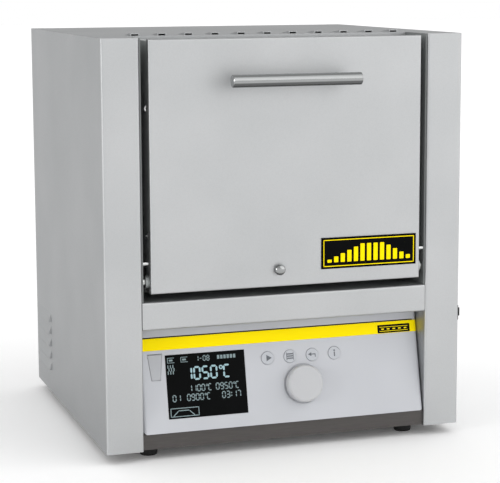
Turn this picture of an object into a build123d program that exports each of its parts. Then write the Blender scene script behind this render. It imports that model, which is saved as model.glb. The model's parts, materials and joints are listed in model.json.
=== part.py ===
from build123d import *

import os
from math import cos, hypot, radians, sin

# Bench box furnace with a flap door, as separate pieces. Every size is in millimetres.
# All pieces are modelled in the casing's frame: x runs from the middle to the right, y from the
# pillars' front faces to the back, z up from the casing's lower edge. They are moved to the part's
# frame when they are written: origin on the bench under the middle, front towards -Y.

# Sheet metal
SHEET = 1.5
BEND = 0.8
SEAM = 0.2
PILLAR_WIDTH = 38.0
REAR_RETURN = 15.0
ROOF_FLANGE = 11.0

# Chamber, heating and insulation
CHAMBER_WIDTH = 160.0
CHAMBER_DEPTH = 126.0
CHAMBER_HEIGHT = 100.0
COLLAR_DEPTH = 14.0
HEATER_DEPTH = 18.0
FLOOR_TILE = 5.0
FLOOR_TILE_GAP = 0.3
FLOOR_INSULATION = 57.5
SIDE_INSULATION = 60.5
ROOF_INSULATION = 57.5
REAR_INSULATION = 60.0

# Free spaces between the inner casing and the housing
SIDE_AIR_GAP = 28.5
TOP_AIR_GAP = 35.5
REAR_SPACE = 83.3

# Feet and base tray
FOOT_HEIGHT = 11.0
FOOT_RADIUS = 10.0
FOOT_TAPER = 1.2
FOOT_STUD_RADIUS = 2.5
FOOT_STUD_RISE = 7.5
FOOT_INSET_SIDE = 50.0
FOOT_INSET_FRONT = 30.0
FOOT_INSET_REAR = 42.0
TRAY_LIFT = 0.5
TRAY_RECESS = 4.0
TRAY_FLANGE = 12.0

# Louvres pressed out of the roof and the side panels
ROOF_LOUVRE_COUNT = 11
ROOF_LOUVRE_MARGIN = 12.0
ROOF_LOUVRE_WIDTH = 9.0
ROOF_LOUVRE_LENGTH = 24.0
ROOF_LOUVRE_RISE = 2.4
ROOF_LOUVRE_SETBACK = 9.0
SIDE_LOUVRE_COUNT = 5
SIDE_LOUVRE_PITCH = 14.0
SIDE_LOUVRE_LENGTH = 66.0
SIDE_LOUVRE_HEIGHT = 9.0
SIDE_LOUVRE_RISE = 2.6
SIDE_LOUVRE_BOTTOM = 26.0
SIDE_LOUVRE_MARGIN = 16.0
LOUVRE_WALL = 0.9

# Control panel
PANEL_BOTTOM = 16.7
PANEL_ANGLE = 12.84
PANEL_FRONT = 1.0
PANEL_BOTTOM_MARGIN = 13.4
PANEL_LIP = 11.3
PANEL_LIP_LEAN = 1.5
PANEL_DEPTH = 49.0
PANEL_WALL = 2.5
PANEL_GAP = 0.8
PANEL_EDGE_RADIUS = 3.5
STRIPE_HEIGHT = 12.3
STRIPE_RECESS = 0.4
STRIPE_PROUD = 0.2
GROOVE_HEIGHT = 1.4
GROOVE_DEPTH = 1.4

# Display
DISPLAY_WIDTH = 83.8
DISPLAY_HEIGHT = 64.4
DISPLAY_TOP_MARGIN = 5.2
DISPLAY_LEDGE = 4.0
DISPLAY_MODULE_MARGIN = 1.5
FLAP_DISPLAY_GAP = 3.1
WINDOW_THICKNESS = 1.4
WINDOW_PROUD = 0.2
WINDOW_FIT = 0.1

# Control board with its bosses
BOARD_DEPTH = 14.0
BOARD_THICKNESS = 1.6
BOSS_RADIUS = 3.2
BOSS_SIDE_INSET = 9.6
BOSS_LEFT_SPACING = 25.6
BOSS_TOP_INSET = 6.4
BOSS_DIAL_SPACING = 73.2

# Keys
KEY_PITCH = 24.4
KEY_DISPLAY_GAP = 24.4
KEY_RADIUS = 6.5
KEY_CLEARANCE = 0.35
KEY_PROUD = 0.8
KEY_FLANGE = 1.1
KEY_FLANGE_MARGIN = 1.05
KEY_BACK_GAP = 0.3
KEY_TRAVEL = 0.8
KEY_STEM_RADIUS = 1.6
KEY_ROW_DROP = 15.9
SWITCH_SIZE = 6.0
SWITCH_RISE = 3.5
SWITCH_GAP = 0.2

# Jog dial
DIAL_RADIUS = 19.0
DIAL_HEIGHT = 9.0
DIAL_STANDOFF = 1.2
DIAL_ROUNDING = 2.5
DIAL_WELL_MARGIN = 1.6
DIAL_WELL_DEPTH = 1.0
KEY_DIAL_GAP = 1.8
DIAL_TRAVEL = 0.8
DIAL_SHAFT_RADIUS = 3.0
DIAL_SHAFT_RAISE = 0.4
DIAL_SEAT_GAP = 0.1
SLEEVE_WALL = 1.5
SLEEVE_DROP = 3.0
SLEEVE_END_GAP = 0.4
SHAFT_PLAY = 0.06
SHAFT_HOLE_MARGIN = 1.5
ENCODER_WALL = 1.9
ENCODER_DROP = 1.5

# USB socket and its flap
FLAP_TOP_WIDTH = 14.7
FLAP_BOTTOM_WIDTH = 8.8
FLAP_HEIGHT = 26.0
FLAP_THICKNESS = 1.6
FLAP_PROUD = 0.3
FLAP_GAP = 0.4
FLAP_LEFT_MARGIN = 8.4
FLAP_TOP_DROP = 3.7
KNUCKLE_RADIUS = 1.5
FLAP_PIN_RADIUS = 0.7
FLAP_PIN_SEAT = 1.0
USB_WIDTH = 5.0
USB_LENGTH = 12.4
USB_SHELL = 1.1
USB_FLOOR = 1.0
USB_DROP = 16.0
USB_FLAP_GAP = 0.6

# Crossbar under the door
CROSSBAR_HEIGHT = 28.5
CROSSBAR_SETBACK = 1.0
CROSSBAR_TOP_RETURN = 6.0
CROSSBAR_BOTTOM_RETURN = 26.0

# Door
DOOR_SIDE_GAP = 8.5
DOOR_SWING_CLEARANCE = 2.85
DOOR_TOP_DROP = 1.5
DOOR_PROUD = 2.5
DOOR_DEPTH = 50.0
DOOR_RETURN = 8.5
DOOR_FIT = 0.2
SURROUND_GAP = 4.0
LINER_SETBACK = 2.0
PLUG_MARGIN = 20.0
PLUG_PROUD = 11.0
PLUG_GAP = 6.0
PLUG_FIT = 0.5
COLLAR_GAP = 1.0
CORE_MARGIN = 6.3
CORE_FRONT_GAP = 14.5
SEAL_WIDTH = 8.0
SEAL_GAP = 0.4

# Hinge
HINGE_PIN_RADIUS = 4.0
HINGE_PIN_REACH = 14.8
HINGE_HEAD_RADIUS = 7.6
HINGE_HEAD = 3.5
BUSH_WALL = 3.0
BUSH_CLEARANCE = 0.8
BUSH_END_GAP = 1.5
RUNNING_PLAY = 0.06
FIXED_PLAY = 0.05
ARM_LENGTH = 24.0
ARM_HALF_WIDTH = 3.0
ARM_THICKNESS = 2.5
ARM_SIDE_GAP = 1.2
STOP_PIN_SETBACK = 4.75
STOP_PIN_RADIUS = 2.0
STOP_PIN_RISE = 19.0
STOP_PIN_HEAD = 0.4
STOP_GAP = 0.25
FRAME_SCREW_RADIUS = 1.9
FRAME_SCREW_HEAD_RADIUS = 3.4
FRAME_SCREW_HEAD = 1.8
FRAME_SCREW_LENGTH = 4.5
FRAME_SCREW_SETBACK = 12.0
FRAME_SCREW_LOW = 56.5
FRAME_SCREW_SPACING = 126.0

# Handle and name plate
HANDLE_LENGTH = 134.0
HANDLE_RADIUS = 6.3
HANDLE_CHAMFER = 0.5
HANDLE_PROUD = 35.0
HANDLE_DROP = 40.5
POST_RADIUS = 4.5
POST_INSET = 14.0
NAME_PLATE_WIDTH = 104.0
NAME_PLATE_HEIGHT = 32.0
NAME_PLATE_THICKNESS = 0.8
NAME_PLATE_MARGIN = 4.5
NAME_PLATE_RISE = 15.0

# Air inlet through the door, with its knob and shutter
AIR_KNOB_OFFSET = -10.0
AIR_KNOB_RISE = 17.5
AIR_KNOB_RADIUS = 5.5
AIR_KNOB_SILL_CLEARANCE = 1.0
AIR_KNOB_CHAMFER = 0.8
AIR_KNOB_FACE = 1.5
AIR_KNOB_GAP = 1.0
AIR_SPINDLE_RADIUS = 3.0
AIR_BOSS_WALL = 3.0
AIR_BOSS_LENGTH = 4.5
AIR_TUBE_RADIUS = 6.0
AIR_TUBE_BORE = 4.0
AIR_TUBE_FIT = 0.1
AIR_TUBE_SILL = 7.0
AIR_TUBE_STUB = 1.0
SHUTTER_THICKNESS = 1.5
SHUTTER_OVERLAP = 3.0
SHUTTER_GAP = 0.3

# Exhaust
EXHAUST_RISE = 75.0
EXHAUST_TUBE_RADIUS = 12.0
EXHAUST_TUBE_BORE = 9.0
EXHAUST_STUB_RADIUS = 15.0
EXHAUST_STUB_PROUD = 20.0
EXHAUST_FLANGE_RADIUS = 27.0
EXHAUST_FLANGE = 2.0
TUBE_FIT = 0.1

# Thermocouple, heater leads and terminal blocks
THERMOCOUPLE_RADIUS = 2.5
THERMOCOUPLE_REACH = 20.0
THERMOCOUPLE_OFFSET = 42.0
THERMOCOUPLE_HEAD_RADIUS = 9.0
THERMOCOUPLE_HEAD = 18.0
LEAD_RADIUS = 2.0
LEAD_BEND = 12.0
LEAD_OFFSET = 21.0
LEAD_PITCH = 17.0
LEAD_SPREAD = 60.0
LEAD_HOLE_RADIUS = 5.0
TERMINAL_HEIGHT = 38.0
TERMINAL_WIDTH = 34.0
TERMINAL_MARGIN = 8.0
TERMINAL_SLOT_WIDTH = 3.0
TERMINAL_SLOT_DEPTH = 6.0

# Relay on its heat sink
RELAY_WIDTH = 35.0
RELAY_LENGTH = 58.0
RELAY_HEIGHT = 23.0
RELAY_OFFSET = 20.0
RELAY_SETBACK = 150.0
SINK_EDGE = 5.0
SINK_BASE = 5.0
SINK_FIN_HEIGHT = 20.0
SINK_FIN_COUNT = 6
SINK_FIN_THICKNESS = 2.0

# Mains inlet and fuses
INLET_MARGIN = 78.0
INLET_RISE = 46.0
INLET_WIDTH = 28.0
INLET_HEIGHT = 22.0
INLET_WALL = 2.0
INLET_EAR = 7.0
INLET_FLANGE = 2.5
INLET_RECESS = 17.0
INLET_BACK = 4.0
INLET_PIN_LENGTH = 12.0
INLET_PIN_THICKNESS = 2.0
INLET_PIN_HEIGHT = 4.4
INLET_PIN_SPACING = 7.0
INLET_PIN_DROP = 1.5
INLET_EARTH_RAISE = 4.0
FUSE_GAP = 31.0
FUSE_PITCH = 22.0
FUSE_RADIUS = 5.6
FUSE_CAP_RADIUS = 7.0
FUSE_CAP = 7.5
FUSE_BODY = 26.0
FUSE_SLOT_WIDTH = 2.0
FUSE_SLOT_DEPTH = 2.0

# Rear panel
REAR_SCREW_DECK_GAP = 4.5
REAR_SCREW_MARGIN = 24.0
REAR_SCREW_RADIUS = 1.9
REAR_SCREW_HEAD_RADIUS = 3.8
REAR_SCREW_HEAD = 1.9
REAR_SCREW_LENGTH = 8.0
REAR_SLOT_COUNT = 9
REAR_SLOT_PITCH = 20.0
REAR_SLOT_WIDTH = 5.0
REAR_SLOT_LENGTH = 34.0
REAR_SLOT_DROP = 24.0
REAR_SLOT_SILL_DROP = 12.0

# Power rocker on the right side panel
ROCKER_SETBACK = 16.0
ROCKER_RISE = 118.0
BEZEL_LENGTH = 23.0
BEZEL_HEIGHT = 15.5
BEZEL_THICKNESS = 2.0
BEZEL_RIM = 3.0
BEZEL_OVERLAP = 1.9
SWITCH_BODY_DEPTH = 21.0
SWITCH_WELL = 10.0
ROCKER_SIDE_GAP = 0.4
ROCKER_END_GAP = 1.2
ROCKER_PIVOT_PROUD = 0.5
ROCKER_TILT = 9.0
ROCKER_END = 5.7
ROCKER_WAIST = 3.4
ROCKER_ROOT = 3.0
ROCKER_ROOT_SLANT = 1.0
ROCKER_PIN_RADIUS = 1.2

# Length by which a cutter runs past the face that it opens
OVERRUN = 1.0

# Control panel's face, measured up its slope from its lower edge
panel_angle = radians(PANEL_ANGLE)
display_column = DISPLAY_TOP_MARGIN + DISPLAY_HEIGHT
dial_drop = KEY_RADIUS + KEY_DIAL_GAP + DIAL_WELL_MARGIN + DIAL_RADIUS
dial_column = KEY_ROW_DROP + dial_drop + DIAL_RADIUS + DIAL_WELL_MARGIN
stripe_low = PANEL_BOTTOM_MARGIN + max(display_column, dial_column)
groove_low = stripe_low + STRIPE_HEIGHT
panel_slope = groove_low + GROOVE_HEIGHT
display_high = stripe_low - DISPLAY_TOP_MARGIN
display_low = display_high - DISPLAY_HEIGHT
key_row = stripe_low - KEY_ROW_DROP
dial_row = key_row - dial_drop
flap_top = stripe_low - FLAP_TOP_DROP
flap_bottom = flap_top - FLAP_HEIGHT
flap_pivot = flap_top - KNUCKLE_RADIUS
flap_pivot_depth = FLAP_PROUD - KNUCKLE_RADIUS
usb_middle = flap_top - USB_DROP

# Heights, from the control panel up through the chamber to the roof
panel_top = PANEL_BOTTOM + panel_slope * cos(panel_angle)
panel_lean = panel_slope * sin(panel_angle)
lip_top = panel_top + PANEL_LIP
crossbar_bottom = lip_top + SEAM
sill = crossbar_bottom + CROSSBAR_HEIGHT
casing_floor = sill + SHEET
tile_low = casing_floor + FLOOR_INSULATION
chamber_low = tile_low + FLOOR_TILE
chamber_high = chamber_low + CHAMBER_HEIGHT
chamber_middle = (chamber_low + chamber_high) / 2
insulation_high = chamber_high + ROOF_INSULATION
shell_high = insulation_high + SHEET
roof_under = shell_high + TOP_AIR_GAP
case_height = roof_under + SHEET
exhaust_height = chamber_low + EXHAUST_RISE

# Half widths, from the chamber out to the housing
chamber_half = CHAMBER_WIDTH / 2
heater_outer = chamber_half + HEATER_DEPTH
heater_middle = chamber_half + HEATER_DEPTH / 2
insulation_half = heater_outer + SIDE_INSULATION
shell_half = insulation_half + SHEET
case_inner = shell_half + SIDE_AIR_GAP
case_half = case_inner + SHEET
bay_half = case_half - PILLAR_WIDTH
bay_fit = bay_half - SEAM
liner_half = bay_fit - SHEET
return_half = case_half - REAR_RETURN
panel_half = bay_half - PANEL_GAP
door_half = bay_half - DOOR_SIDE_GAP
inlet_middle = case_half - INLET_MARGIN

# Depths, from the door back to the rear panel
bay_back = DOOR_DEPTH + SURROUND_GAP
collar_front = DOOR_DEPTH + PLUG_PROUD + COLLAR_GAP
chamber_front = collar_front + COLLAR_DEPTH
chamber_back = chamber_front + CHAMBER_DEPTH
insulation_back = chamber_back + REAR_INSULATION
shell_back = insulation_back + SHEET
shell_front = bay_back + SHEET + SEAM
rear_inner = shell_back + REAR_SPACE
rear_skin = rear_inner + SHEET
case_depth = rear_skin + SEAM + SHEET
lead_low_row = shell_back + LEAD_OFFSET
lead_high_row = lead_low_row + LEAD_PITCH
panel_back = PANEL_FRONT + PANEL_DEPTH

# A square edge that lies in the corner of a fold stands back by this much, clear of the fold's radius
fold_gap = SEAM + BEND / 3

# Base tray
tray_front_top = PANEL_BOTTOM - SEAM
tray_floor = TRAY_LIFT + SHEET

# Places along the control panel
flap_left = -panel_half + FLAP_LEFT_MARGIN
flap_middle = flap_left + FLAP_TOP_WIDTH / 2
display_left = flap_left + FLAP_TOP_WIDTH + FLAP_DISPLAY_GAP
display_right = display_left + DISPLAY_WIDTH
key_first = display_right + KEY_DISPLAY_GAP
dial_middle = key_first + 1.5 * KEY_PITCH

# Hinge, which leaves room for the door's lower front corner to swing past the sill
bush_radius = HINGE_PIN_RADIUS + BUSH_WALL
hinge_depth = STOP_PIN_SETBACK + STOP_PIN_RADIUS + STOP_GAP + ARM_HALF_WIDTH
hinge_rise = SHEET + DOOR_FIT + SHEET + BUSH_CLEARANCE + bush_radius
corner_swing = hypot(hinge_depth + DOOR_PROUD, hinge_rise)
hinge_height = sill + DOOR_SWING_CLEARANCE + corner_swing
stop_height = hinge_height + STOP_PIN_RISE

# Door
door_low = hinge_height - hinge_rise
door_high = case_height - DOOR_TOP_DROP
cover_back = -DOOR_PROUD + SHEET
frame_half = door_half - SHEET - DOOR_FIT
frame_low = door_low + SHEET + DOOR_FIT
frame_high = door_high - SHEET - DOOR_FIT
frame_front = cover_back + DOOR_FIT
plate_front = DOOR_DEPTH - SHEET
core_front = cover_back + CORE_FRONT_GAP
core_half = frame_half - SHEET - CORE_MARGIN
arm_inner = door_half + ARM_SIDE_GAP
arm_outer = arm_inner + ARM_THICKNESS
pin_inner = liner_half - HINGE_PIN_REACH
handle_height = door_high - HANDLE_DROP
handle_axis = -HANDLE_PROUD + HANDLE_RADIUS
handle_half = HANDLE_LENGTH / 2

# Plug, and the mouth that it closes
plug_half = chamber_half + PLUG_MARGIN
plug_low = chamber_low - PLUG_MARGIN
plug_high = chamber_high + PLUG_MARGIN
plug_back = DOOR_DEPTH + PLUG_PROUD
mouth_half = plug_half + PLUG_GAP
mouth_low = plug_low - PLUG_GAP
mouth_high = plug_high + PLUG_GAP

# Air inlet, whose knob just clears the sill when the door hangs open
knob_height = door_low + AIR_KNOB_RISE
air_knob_back = -DOOR_PROUD - AIR_KNOB_GAP
air_knob_front = hinge_depth - (hinge_height - sill) + AIR_KNOB_SILL_CLEARANCE
spindle_front = air_knob_front + AIR_KNOB_FACE
air_tube_height = chamber_low + AIR_TUBE_SILL
air_tube_front = core_front - AIR_TUBE_STUB
shutter_back = air_tube_front - SHUTTER_GAP
shutter_front = shutter_back - SHUTTER_THICKNESS

# Dial's shaft and its push sleeve, as heights over the panel face
sleeve_low = -BOARD_DEPTH + DIAL_TRAVEL + SLEEVE_END_GAP
sleeve_top = -PANEL_WALL - SLEEVE_DROP
sleeve_radius = DIAL_SHAFT_RADIUS + SHAFT_PLAY + SLEEVE_WALL
collar_radius = DIAL_SHAFT_RADIUS + SLEEVE_WALL

# Power rocker
rocker_pivot = case_half + ROCKER_PIVOT_PROUD
well_length = BEZEL_LENGTH / 2 - BEZEL_RIM
well_height = BEZEL_HEIGHT / 2 - BEZEL_RIM
switch_length = BEZEL_LENGTH / 2 - BEZEL_OVERLAP
switch_height = BEZEL_HEIGHT / 2 - BEZEL_OVERLAP

# Origin of the part's frame, midway between the handle's front and the end of the exhaust stub
front_y = (HANDLE_PROUD - case_depth - EXHAUST_STUB_PROUD) / 2

# The control panel's sloping face: local x to the right, local y up the slope, local z out of it
panel_plane = Plane(
    origin=(0, PANEL_FRONT, PANEL_BOTTOM),
    x_dir=(1, 0, 0),
    z_dir=(0, -cos(panel_angle), sin(panel_angle)),
)


def block(x, y, z):
    """A straight block between a low and a high place on each axis."""
    size = [high - low for low, high in (x, y, z)]
    return Pos(x[0], y[0], z[0]) * Box(*size, align=(Align.MIN, Align.MIN, Align.MIN))


def rod(start, end, radius):
    """A round bar from one point to another."""
    along = Vector(*end) - Vector(*start)
    place = Plane(origin=start, z_dir=along).location
    return place * Cylinder(radius, along.length, align=(Align.CENTER, Align.CENTER, Align.MIN))


def rod_x(low, high, y, z, radius):
    """A round bar along x."""
    return rod((low, y, z), (high, y, z), radius)


def rod_y(x, front, back, z, radius):
    """A round bar along y."""
    return rod((x, front, z), (x, back, z), radius)


def upright_rod(x, y, low, high, radius):
    """A round bar along z."""
    return rod((x, y, low), (x, y, high), radius)


def group(shapes):
    """Separate solids kept together as one piece."""
    return Compound([solid for shape in shapes for solid in shape.solids()])


def both_sides(shape):
    """A piece and its mirror image on the other side of the furnace."""
    return group([shape, mirror(shape, about=Plane.YZ)])


def prism_x(points, low, high):
    """An outline of (y, z) points, drawn out along x."""
    face = make_face(Polyline(*points, close=True))
    return extrude(Plane.YZ.offset(low) * face, amount=high - low)


def prism_y(points, front, back):
    """An outline of (x, z) points, drawn out along y."""
    plane = Plane(origin=(0, back, 0), x_dir=(1, 0, 0), z_dir=(0, -1, 0))
    return extrude(plane * make_face(Polyline(*points, close=True)), amount=back - front)


def prism_z(points, low, high):
    """An outline of (x, y) points, drawn out along z."""
    return extrude(Pos(0, 0, low) * make_face(Polyline(*points, close=True)), amount=high - low)


def offset_chain(points, distance):
    """The chain of points moved to its left by a distance, with mitred corners."""
    moved = []
    last = len(points) - 1
    for index, point in enumerate(points):
        before = points[max(index - 1, 0)]
        after = points[min(index + 1, last)]
        directions = []
        for start, end in ((before, point), (point, after)):
            run = hypot(end[0] - start[0], end[1] - start[1])
            if run > 0:
                directions.append(((end[0] - start[0]) / run, (end[1] - start[1]) / run))
        first = directions[0]
        second = directions[-1]
        share = 1 + first[0] * second[0] + first[1] * second[1]
        shift_x = -distance * (first[1] + second[1]) / share
        shift_y = distance * (first[0] + second[0]) / share
        moved.append((point[0] + shift_x, point[1] + shift_y))
    return moved


def folded_outline(points):
    """The edge-on outline of a sheet folded to the left along its outer points."""
    inner = offset_chain(points, SHEET)
    folds = len(points) - 2
    outer_radii = [0] + [BEND + SHEET] * folds + [0]
    inner_radii = [0] + [BEND] * folds + [0]
    return make_face(FilletPolyline(*points, *reversed(inner), radius=outer_radii + inner_radii, close=True))


def on_panel(shape):
    """A piece drawn in the panel face's own frame, put in its place."""
    return panel_plane.location * shape


def side_louvres():
    """Pressed hoods on the right side panel, open downwards, and the hollows behind them."""
    hoods = []
    hollows = []
    rear = case_depth - SIDE_LOUVRE_MARGIN
    front = rear - SIDE_LOUVRE_LENGTH
    peak = case_half + SIDE_LOUVRE_RISE
    for index in range(SIDE_LOUVRE_COUNT):
        low = SIDE_LOUVRE_BOTTOM + index * SIDE_LOUVRE_PITCH
        high = low + SIDE_LOUVRE_HEIGHT
        outside = [(case_half, low), (peak, low), (peak, low + LOUVRE_WALL), (case_half, high)]
        inside = [
            (case_inner, low - SEAM),
            (peak - LOUVRE_WALL, low - SEAM),
            (peak - LOUVRE_WALL, low + LOUVRE_WALL),
            (case_inner, high - 2 * LOUVRE_WALL),
        ]
        hoods.append(prism_y(outside, front, rear))
        hollows.append(prism_y(inside, front + LOUVRE_WALL, rear - LOUVRE_WALL))
    return hoods, hollows


def side_panel():
    """The right side panel: pillar with its return, side and rear return, folded from one sheet."""
    path = [
        (bay_half, bay_back - SEAM),
        (bay_half, 0),
        (case_half, 0),
        (case_half, case_depth),
        (return_half, case_depth),
    ]
    panel = extrude(folded_outline(path), amount=case_height)
    hoods, hollows = side_louvres()
    for hood in hoods:
        panel += hood
    for hollow in hollows:
        panel -= hollow
    panel -= hinge_pin_hole()
    panel -= stop_pin_hole()
    for height in rear_screw_heights():
        panel -= rear_screw_hole(height)
    return panel


def right_side_panel():
    """Side panel with the cut-out for the power switch."""
    cut_out = block(
        (case_inner - OVERRUN, case_half + OVERRUN),
        (ROCKER_SETBACK - switch_length - SEAM, ROCKER_SETBACK + switch_length + SEAM),
        (ROCKER_RISE - switch_height - SEAM, ROCKER_RISE + switch_height + SEAM),
    )
    return side_panel() - cut_out


def left_side_panel():
    return mirror(side_panel(), about=Plane.YZ)


def roof_panel():
    """Flat roof between the side panels, notched for the door, with flanges and a row of louvres."""
    side = case_inner - fold_gap
    back = rear_skin - fold_gap
    flange_low = roof_under - ROOF_FLANGE
    roof = block((-side, side), (SHEET + fold_gap, back), (roof_under, case_height))
    notch = bay_half + SHEET + fold_gap
    roof -= block((-notch, notch), (0, bay_back), (roof_under - OVERRUN, case_height + OVERRUN))
    roof += block((-bay_fit, bay_fit), (bay_back, bay_back + SHEET), (flange_low, roof_under))
    side_flange = block((side - SHEET, side), (bay_back, rear_inner - SEAM), (flange_low, roof_under))
    roof += side_flange
    roof += mirror(side_flange, about=Plane.YZ)
    front = bay_back + ROOF_LOUVRE_SETBACK
    rear = front + ROOF_LOUVRE_LENGTH
    peak = case_height + ROOF_LOUVRE_RISE
    first = -bay_half + ROOF_LOUVRE_MARGIN
    pitch = -2 * first / (ROOF_LOUVRE_COUNT - 1)
    outside = [(front, case_height), (rear, case_height), (front + LOUVRE_WALL, peak), (front, peak)]
    inside = [
        (front - SEAM, roof_under),
        (rear - 3 * LOUVRE_WALL, roof_under),
        (front + LOUVRE_WALL, peak - LOUVRE_WALL),
        (front - SEAM, peak - LOUVRE_WALL),
    ]
    for index in range(ROOF_LOUVRE_COUNT):
        left = first + index * pitch - ROOF_LOUVRE_WIDTH / 2
        right = left + ROOF_LOUVRE_WIDTH
        roof += prism_x(outside, left, right)
        roof -= prism_x(inside, left + LOUVRE_WALL, right - LOUVRE_WALL)
    return roof


def rear_screw_heights():
    """Heights of the screws that hold the rear panel: two below the deck and two above it."""
    under_deck = sill - SHEET - REAR_SCREW_DECK_GAP
    top = case_height - REAR_SCREW_MARGIN
    return [REAR_SCREW_MARGIN, under_deck, (under_deck + top) / 2, top]


def rear_screw_middle():
    """Distance of the rear panel's screws from the middle of the furnace."""
    return return_half + REAR_SCREW_HEAD_RADIUS + SEAM


def rear_screw_hole(height):
    """The cutter for one screw hole on the right, through the return and the rear panel."""
    front = rear_inner - OVERRUN
    return rod_y(rear_screw_middle(), front, case_depth + OVERRUN, height, REAR_SCREW_RADIUS + FIXED_PLAY)


def rear_panel():
    """Back of the furnace: holes for exhaust, mains inlet and fuses, and two rows of slots."""
    side = case_inner - fold_gap
    panel = block((-side, side), (rear_inner, rear_skin), (tray_floor + SEAM, roof_under - SEAM))
    front = rear_inner - OVERRUN
    back = rear_skin + OVERRUN
    for height in rear_screw_heights():
        panel -= both_sides(rear_screw_hole(height))
    panel -= rod_y(0, front, back, exhaust_height, EXHAUST_TUBE_RADIUS + TUBE_FIT)
    half_width = INLET_WIDTH / 2 + SEAM
    half_height = INLET_HEIGHT / 2 + SEAM
    panel -= block(
        (inlet_middle - half_width, inlet_middle + half_width),
        (front, back),
        (INLET_RISE - half_height, INLET_RISE + half_height),
    )
    for middle in fuse_middles():
        panel -= rod_y(middle, front, back, INLET_RISE, FUSE_RADIUS + FIXED_PLAY)
    first = -REAR_SLOT_PITCH * (REAR_SLOT_COUNT - 1) / 2
    upper_row = roof_under - REAR_SLOT_DROP - REAR_SLOT_LENGTH
    lower_row = sill - REAR_SLOT_SILL_DROP - REAR_SLOT_LENGTH
    for low in (lower_row, upper_row):
        for index in range(REAR_SLOT_COUNT):
            panel -= rear_slot(first + index * REAR_SLOT_PITCH, low)
    return panel


def rear_slot(middle, low):
    """The cutter for one upright slot with round ends in the rear panel."""
    front = rear_inner - OVERRUN
    back = rear_skin + OVERRUN
    radius = REAR_SLOT_WIDTH / 2
    bottom = low + radius
    top = low + REAR_SLOT_LENGTH - radius
    slot = block((middle - radius, middle + radius), (front, back), (bottom, top))
    slot += rod_y(middle, front, back, bottom, radius)
    slot += rod_y(middle, front, back, top, radius)
    return slot


def foot_places():
    """Places of the four feet under the tray."""
    side = case_half - FOOT_INSET_SIDE
    rear = case_depth - FOOT_INSET_REAR
    return [(x, y) for x in (-side, side) for y in (FOOT_INSET_FRONT, rear)]


def base_tray():
    """Bottom of the casing, with the dark front flange under the control panel."""
    side = case_inner - fold_gap
    back = rear_inner - SEAM
    tray = block((-bay_fit, bay_fit), (TRAY_RECESS, bay_back), (TRAY_LIFT, tray_floor))
    tray += block((-side, side), (bay_back, back), (TRAY_LIFT, tray_floor))
    tray += block((-bay_fit, bay_fit), (TRAY_RECESS, TRAY_RECESS + SHEET), (TRAY_LIFT, tray_front_top))
    tongue_inner = bay_half + SHEET + fold_gap
    tongue = block((tongue_inner, side), (SHEET + fold_gap, bay_back), (TRAY_LIFT, tray_floor))
    flange = block((side - SHEET, side), (bay_back, back), (TRAY_LIFT, TRAY_LIFT + TRAY_FLANGE))
    for piece in (tongue, flange):
        tray += piece
        tray += mirror(piece, about=Plane.YZ)
    for x, y in foot_places():
        tray -= upright_rod(x, y, 0, tray_floor + OVERRUN, FOOT_STUD_RADIUS + FIXED_PLAY)
    return tray


def foot(x, y):
    """One rubber foot with its stud through the tray."""
    rubber = Pos(x, y, -FOOT_HEIGHT) * Cone(
        FOOT_RADIUS - FOOT_TAPER,
        FOOT_RADIUS,
        FOOT_HEIGHT + TRAY_LIFT,
        align=(Align.CENTER, Align.CENTER, Align.MIN),
    )
    return rubber + upright_rod(x, y, 0, tray_floor + FOOT_STUD_RISE, FOOT_STUD_RADIUS)


def feet():
    return group(foot(x, y) for x, y in foot_places())


def front_crossbar():
    """Folded fascia between the control panel and the door."""
    path = [
        (CROSSBAR_SETBACK + CROSSBAR_TOP_RETURN, sill),
        (CROSSBAR_SETBACK, sill),
        (CROSSBAR_SETBACK, crossbar_bottom),
        (CROSSBAR_SETBACK + CROSSBAR_BOTTOM_RETURN, crossbar_bottom),
    ]
    return extrude(Plane.YZ.offset(-bay_fit) * folded_outline(path), amount=2 * bay_fit)


def hinge_pin_hole():
    """The cutter for the hinge pin in the right pillar's return and in the surround's liner."""
    low = liner_half - OVERRUN
    high = bay_half + SHEET + OVERRUN
    return rod_x(low, high, hinge_depth, hinge_height, HINGE_PIN_RADIUS + FIXED_PLAY)


def stop_pin_hole():
    """The cutter for the stop pin, through the same two sheets."""
    low = liner_half - OVERRUN
    high = bay_half + SHEET + OVERRUN
    return rod_x(low, high, STOP_PIN_SETBACK, stop_height, STOP_PIN_RADIUS + FIXED_PLAY)


def door_surround():
    """Dark frame behind and beside the door, with a collar round the chamber's mouth."""
    high = roof_under - ROOF_FLANGE - SEAM
    low = sill - SHEET
    surround = block((-bay_fit, bay_fit), (bay_back, bay_back + SHEET), (low, high))
    surround += block(
        (-mouth_half - SHEET, mouth_half + SHEET),
        (bay_back, collar_front),
        (mouth_low - SHEET, mouth_high + SHEET),
    )
    surround -= block(
        (-mouth_half, mouth_half),
        (bay_back - OVERRUN, collar_front + OVERRUN),
        (mouth_low, mouth_high),
    )
    ledge_front = CROSSBAR_SETBACK + CROSSBAR_TOP_RETURN + SEAM
    surround += block((-bay_fit, bay_fit), (ledge_front, bay_back + SHEET), (low, sill))
    liner = block((liner_half, bay_fit), (LINER_SETBACK, bay_back), (sill, case_height - SEAM))
    liner -= hinge_pin_hole()
    liner -= stop_pin_hole()
    surround += liner
    surround += mirror(liner, about=Plane.YZ)
    return surround


def lead_places():
    """The four heater leads: place across, height at the heater, and depth at which each one drops."""
    low = chamber_middle - LEAD_SPREAD / 2
    high = chamber_middle + LEAD_SPREAD / 2
    places = []
    for x in (-heater_middle, heater_middle):
        places.append((x, low, lead_low_row))
        places.append((x, high, lead_high_row))
    return places


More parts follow.
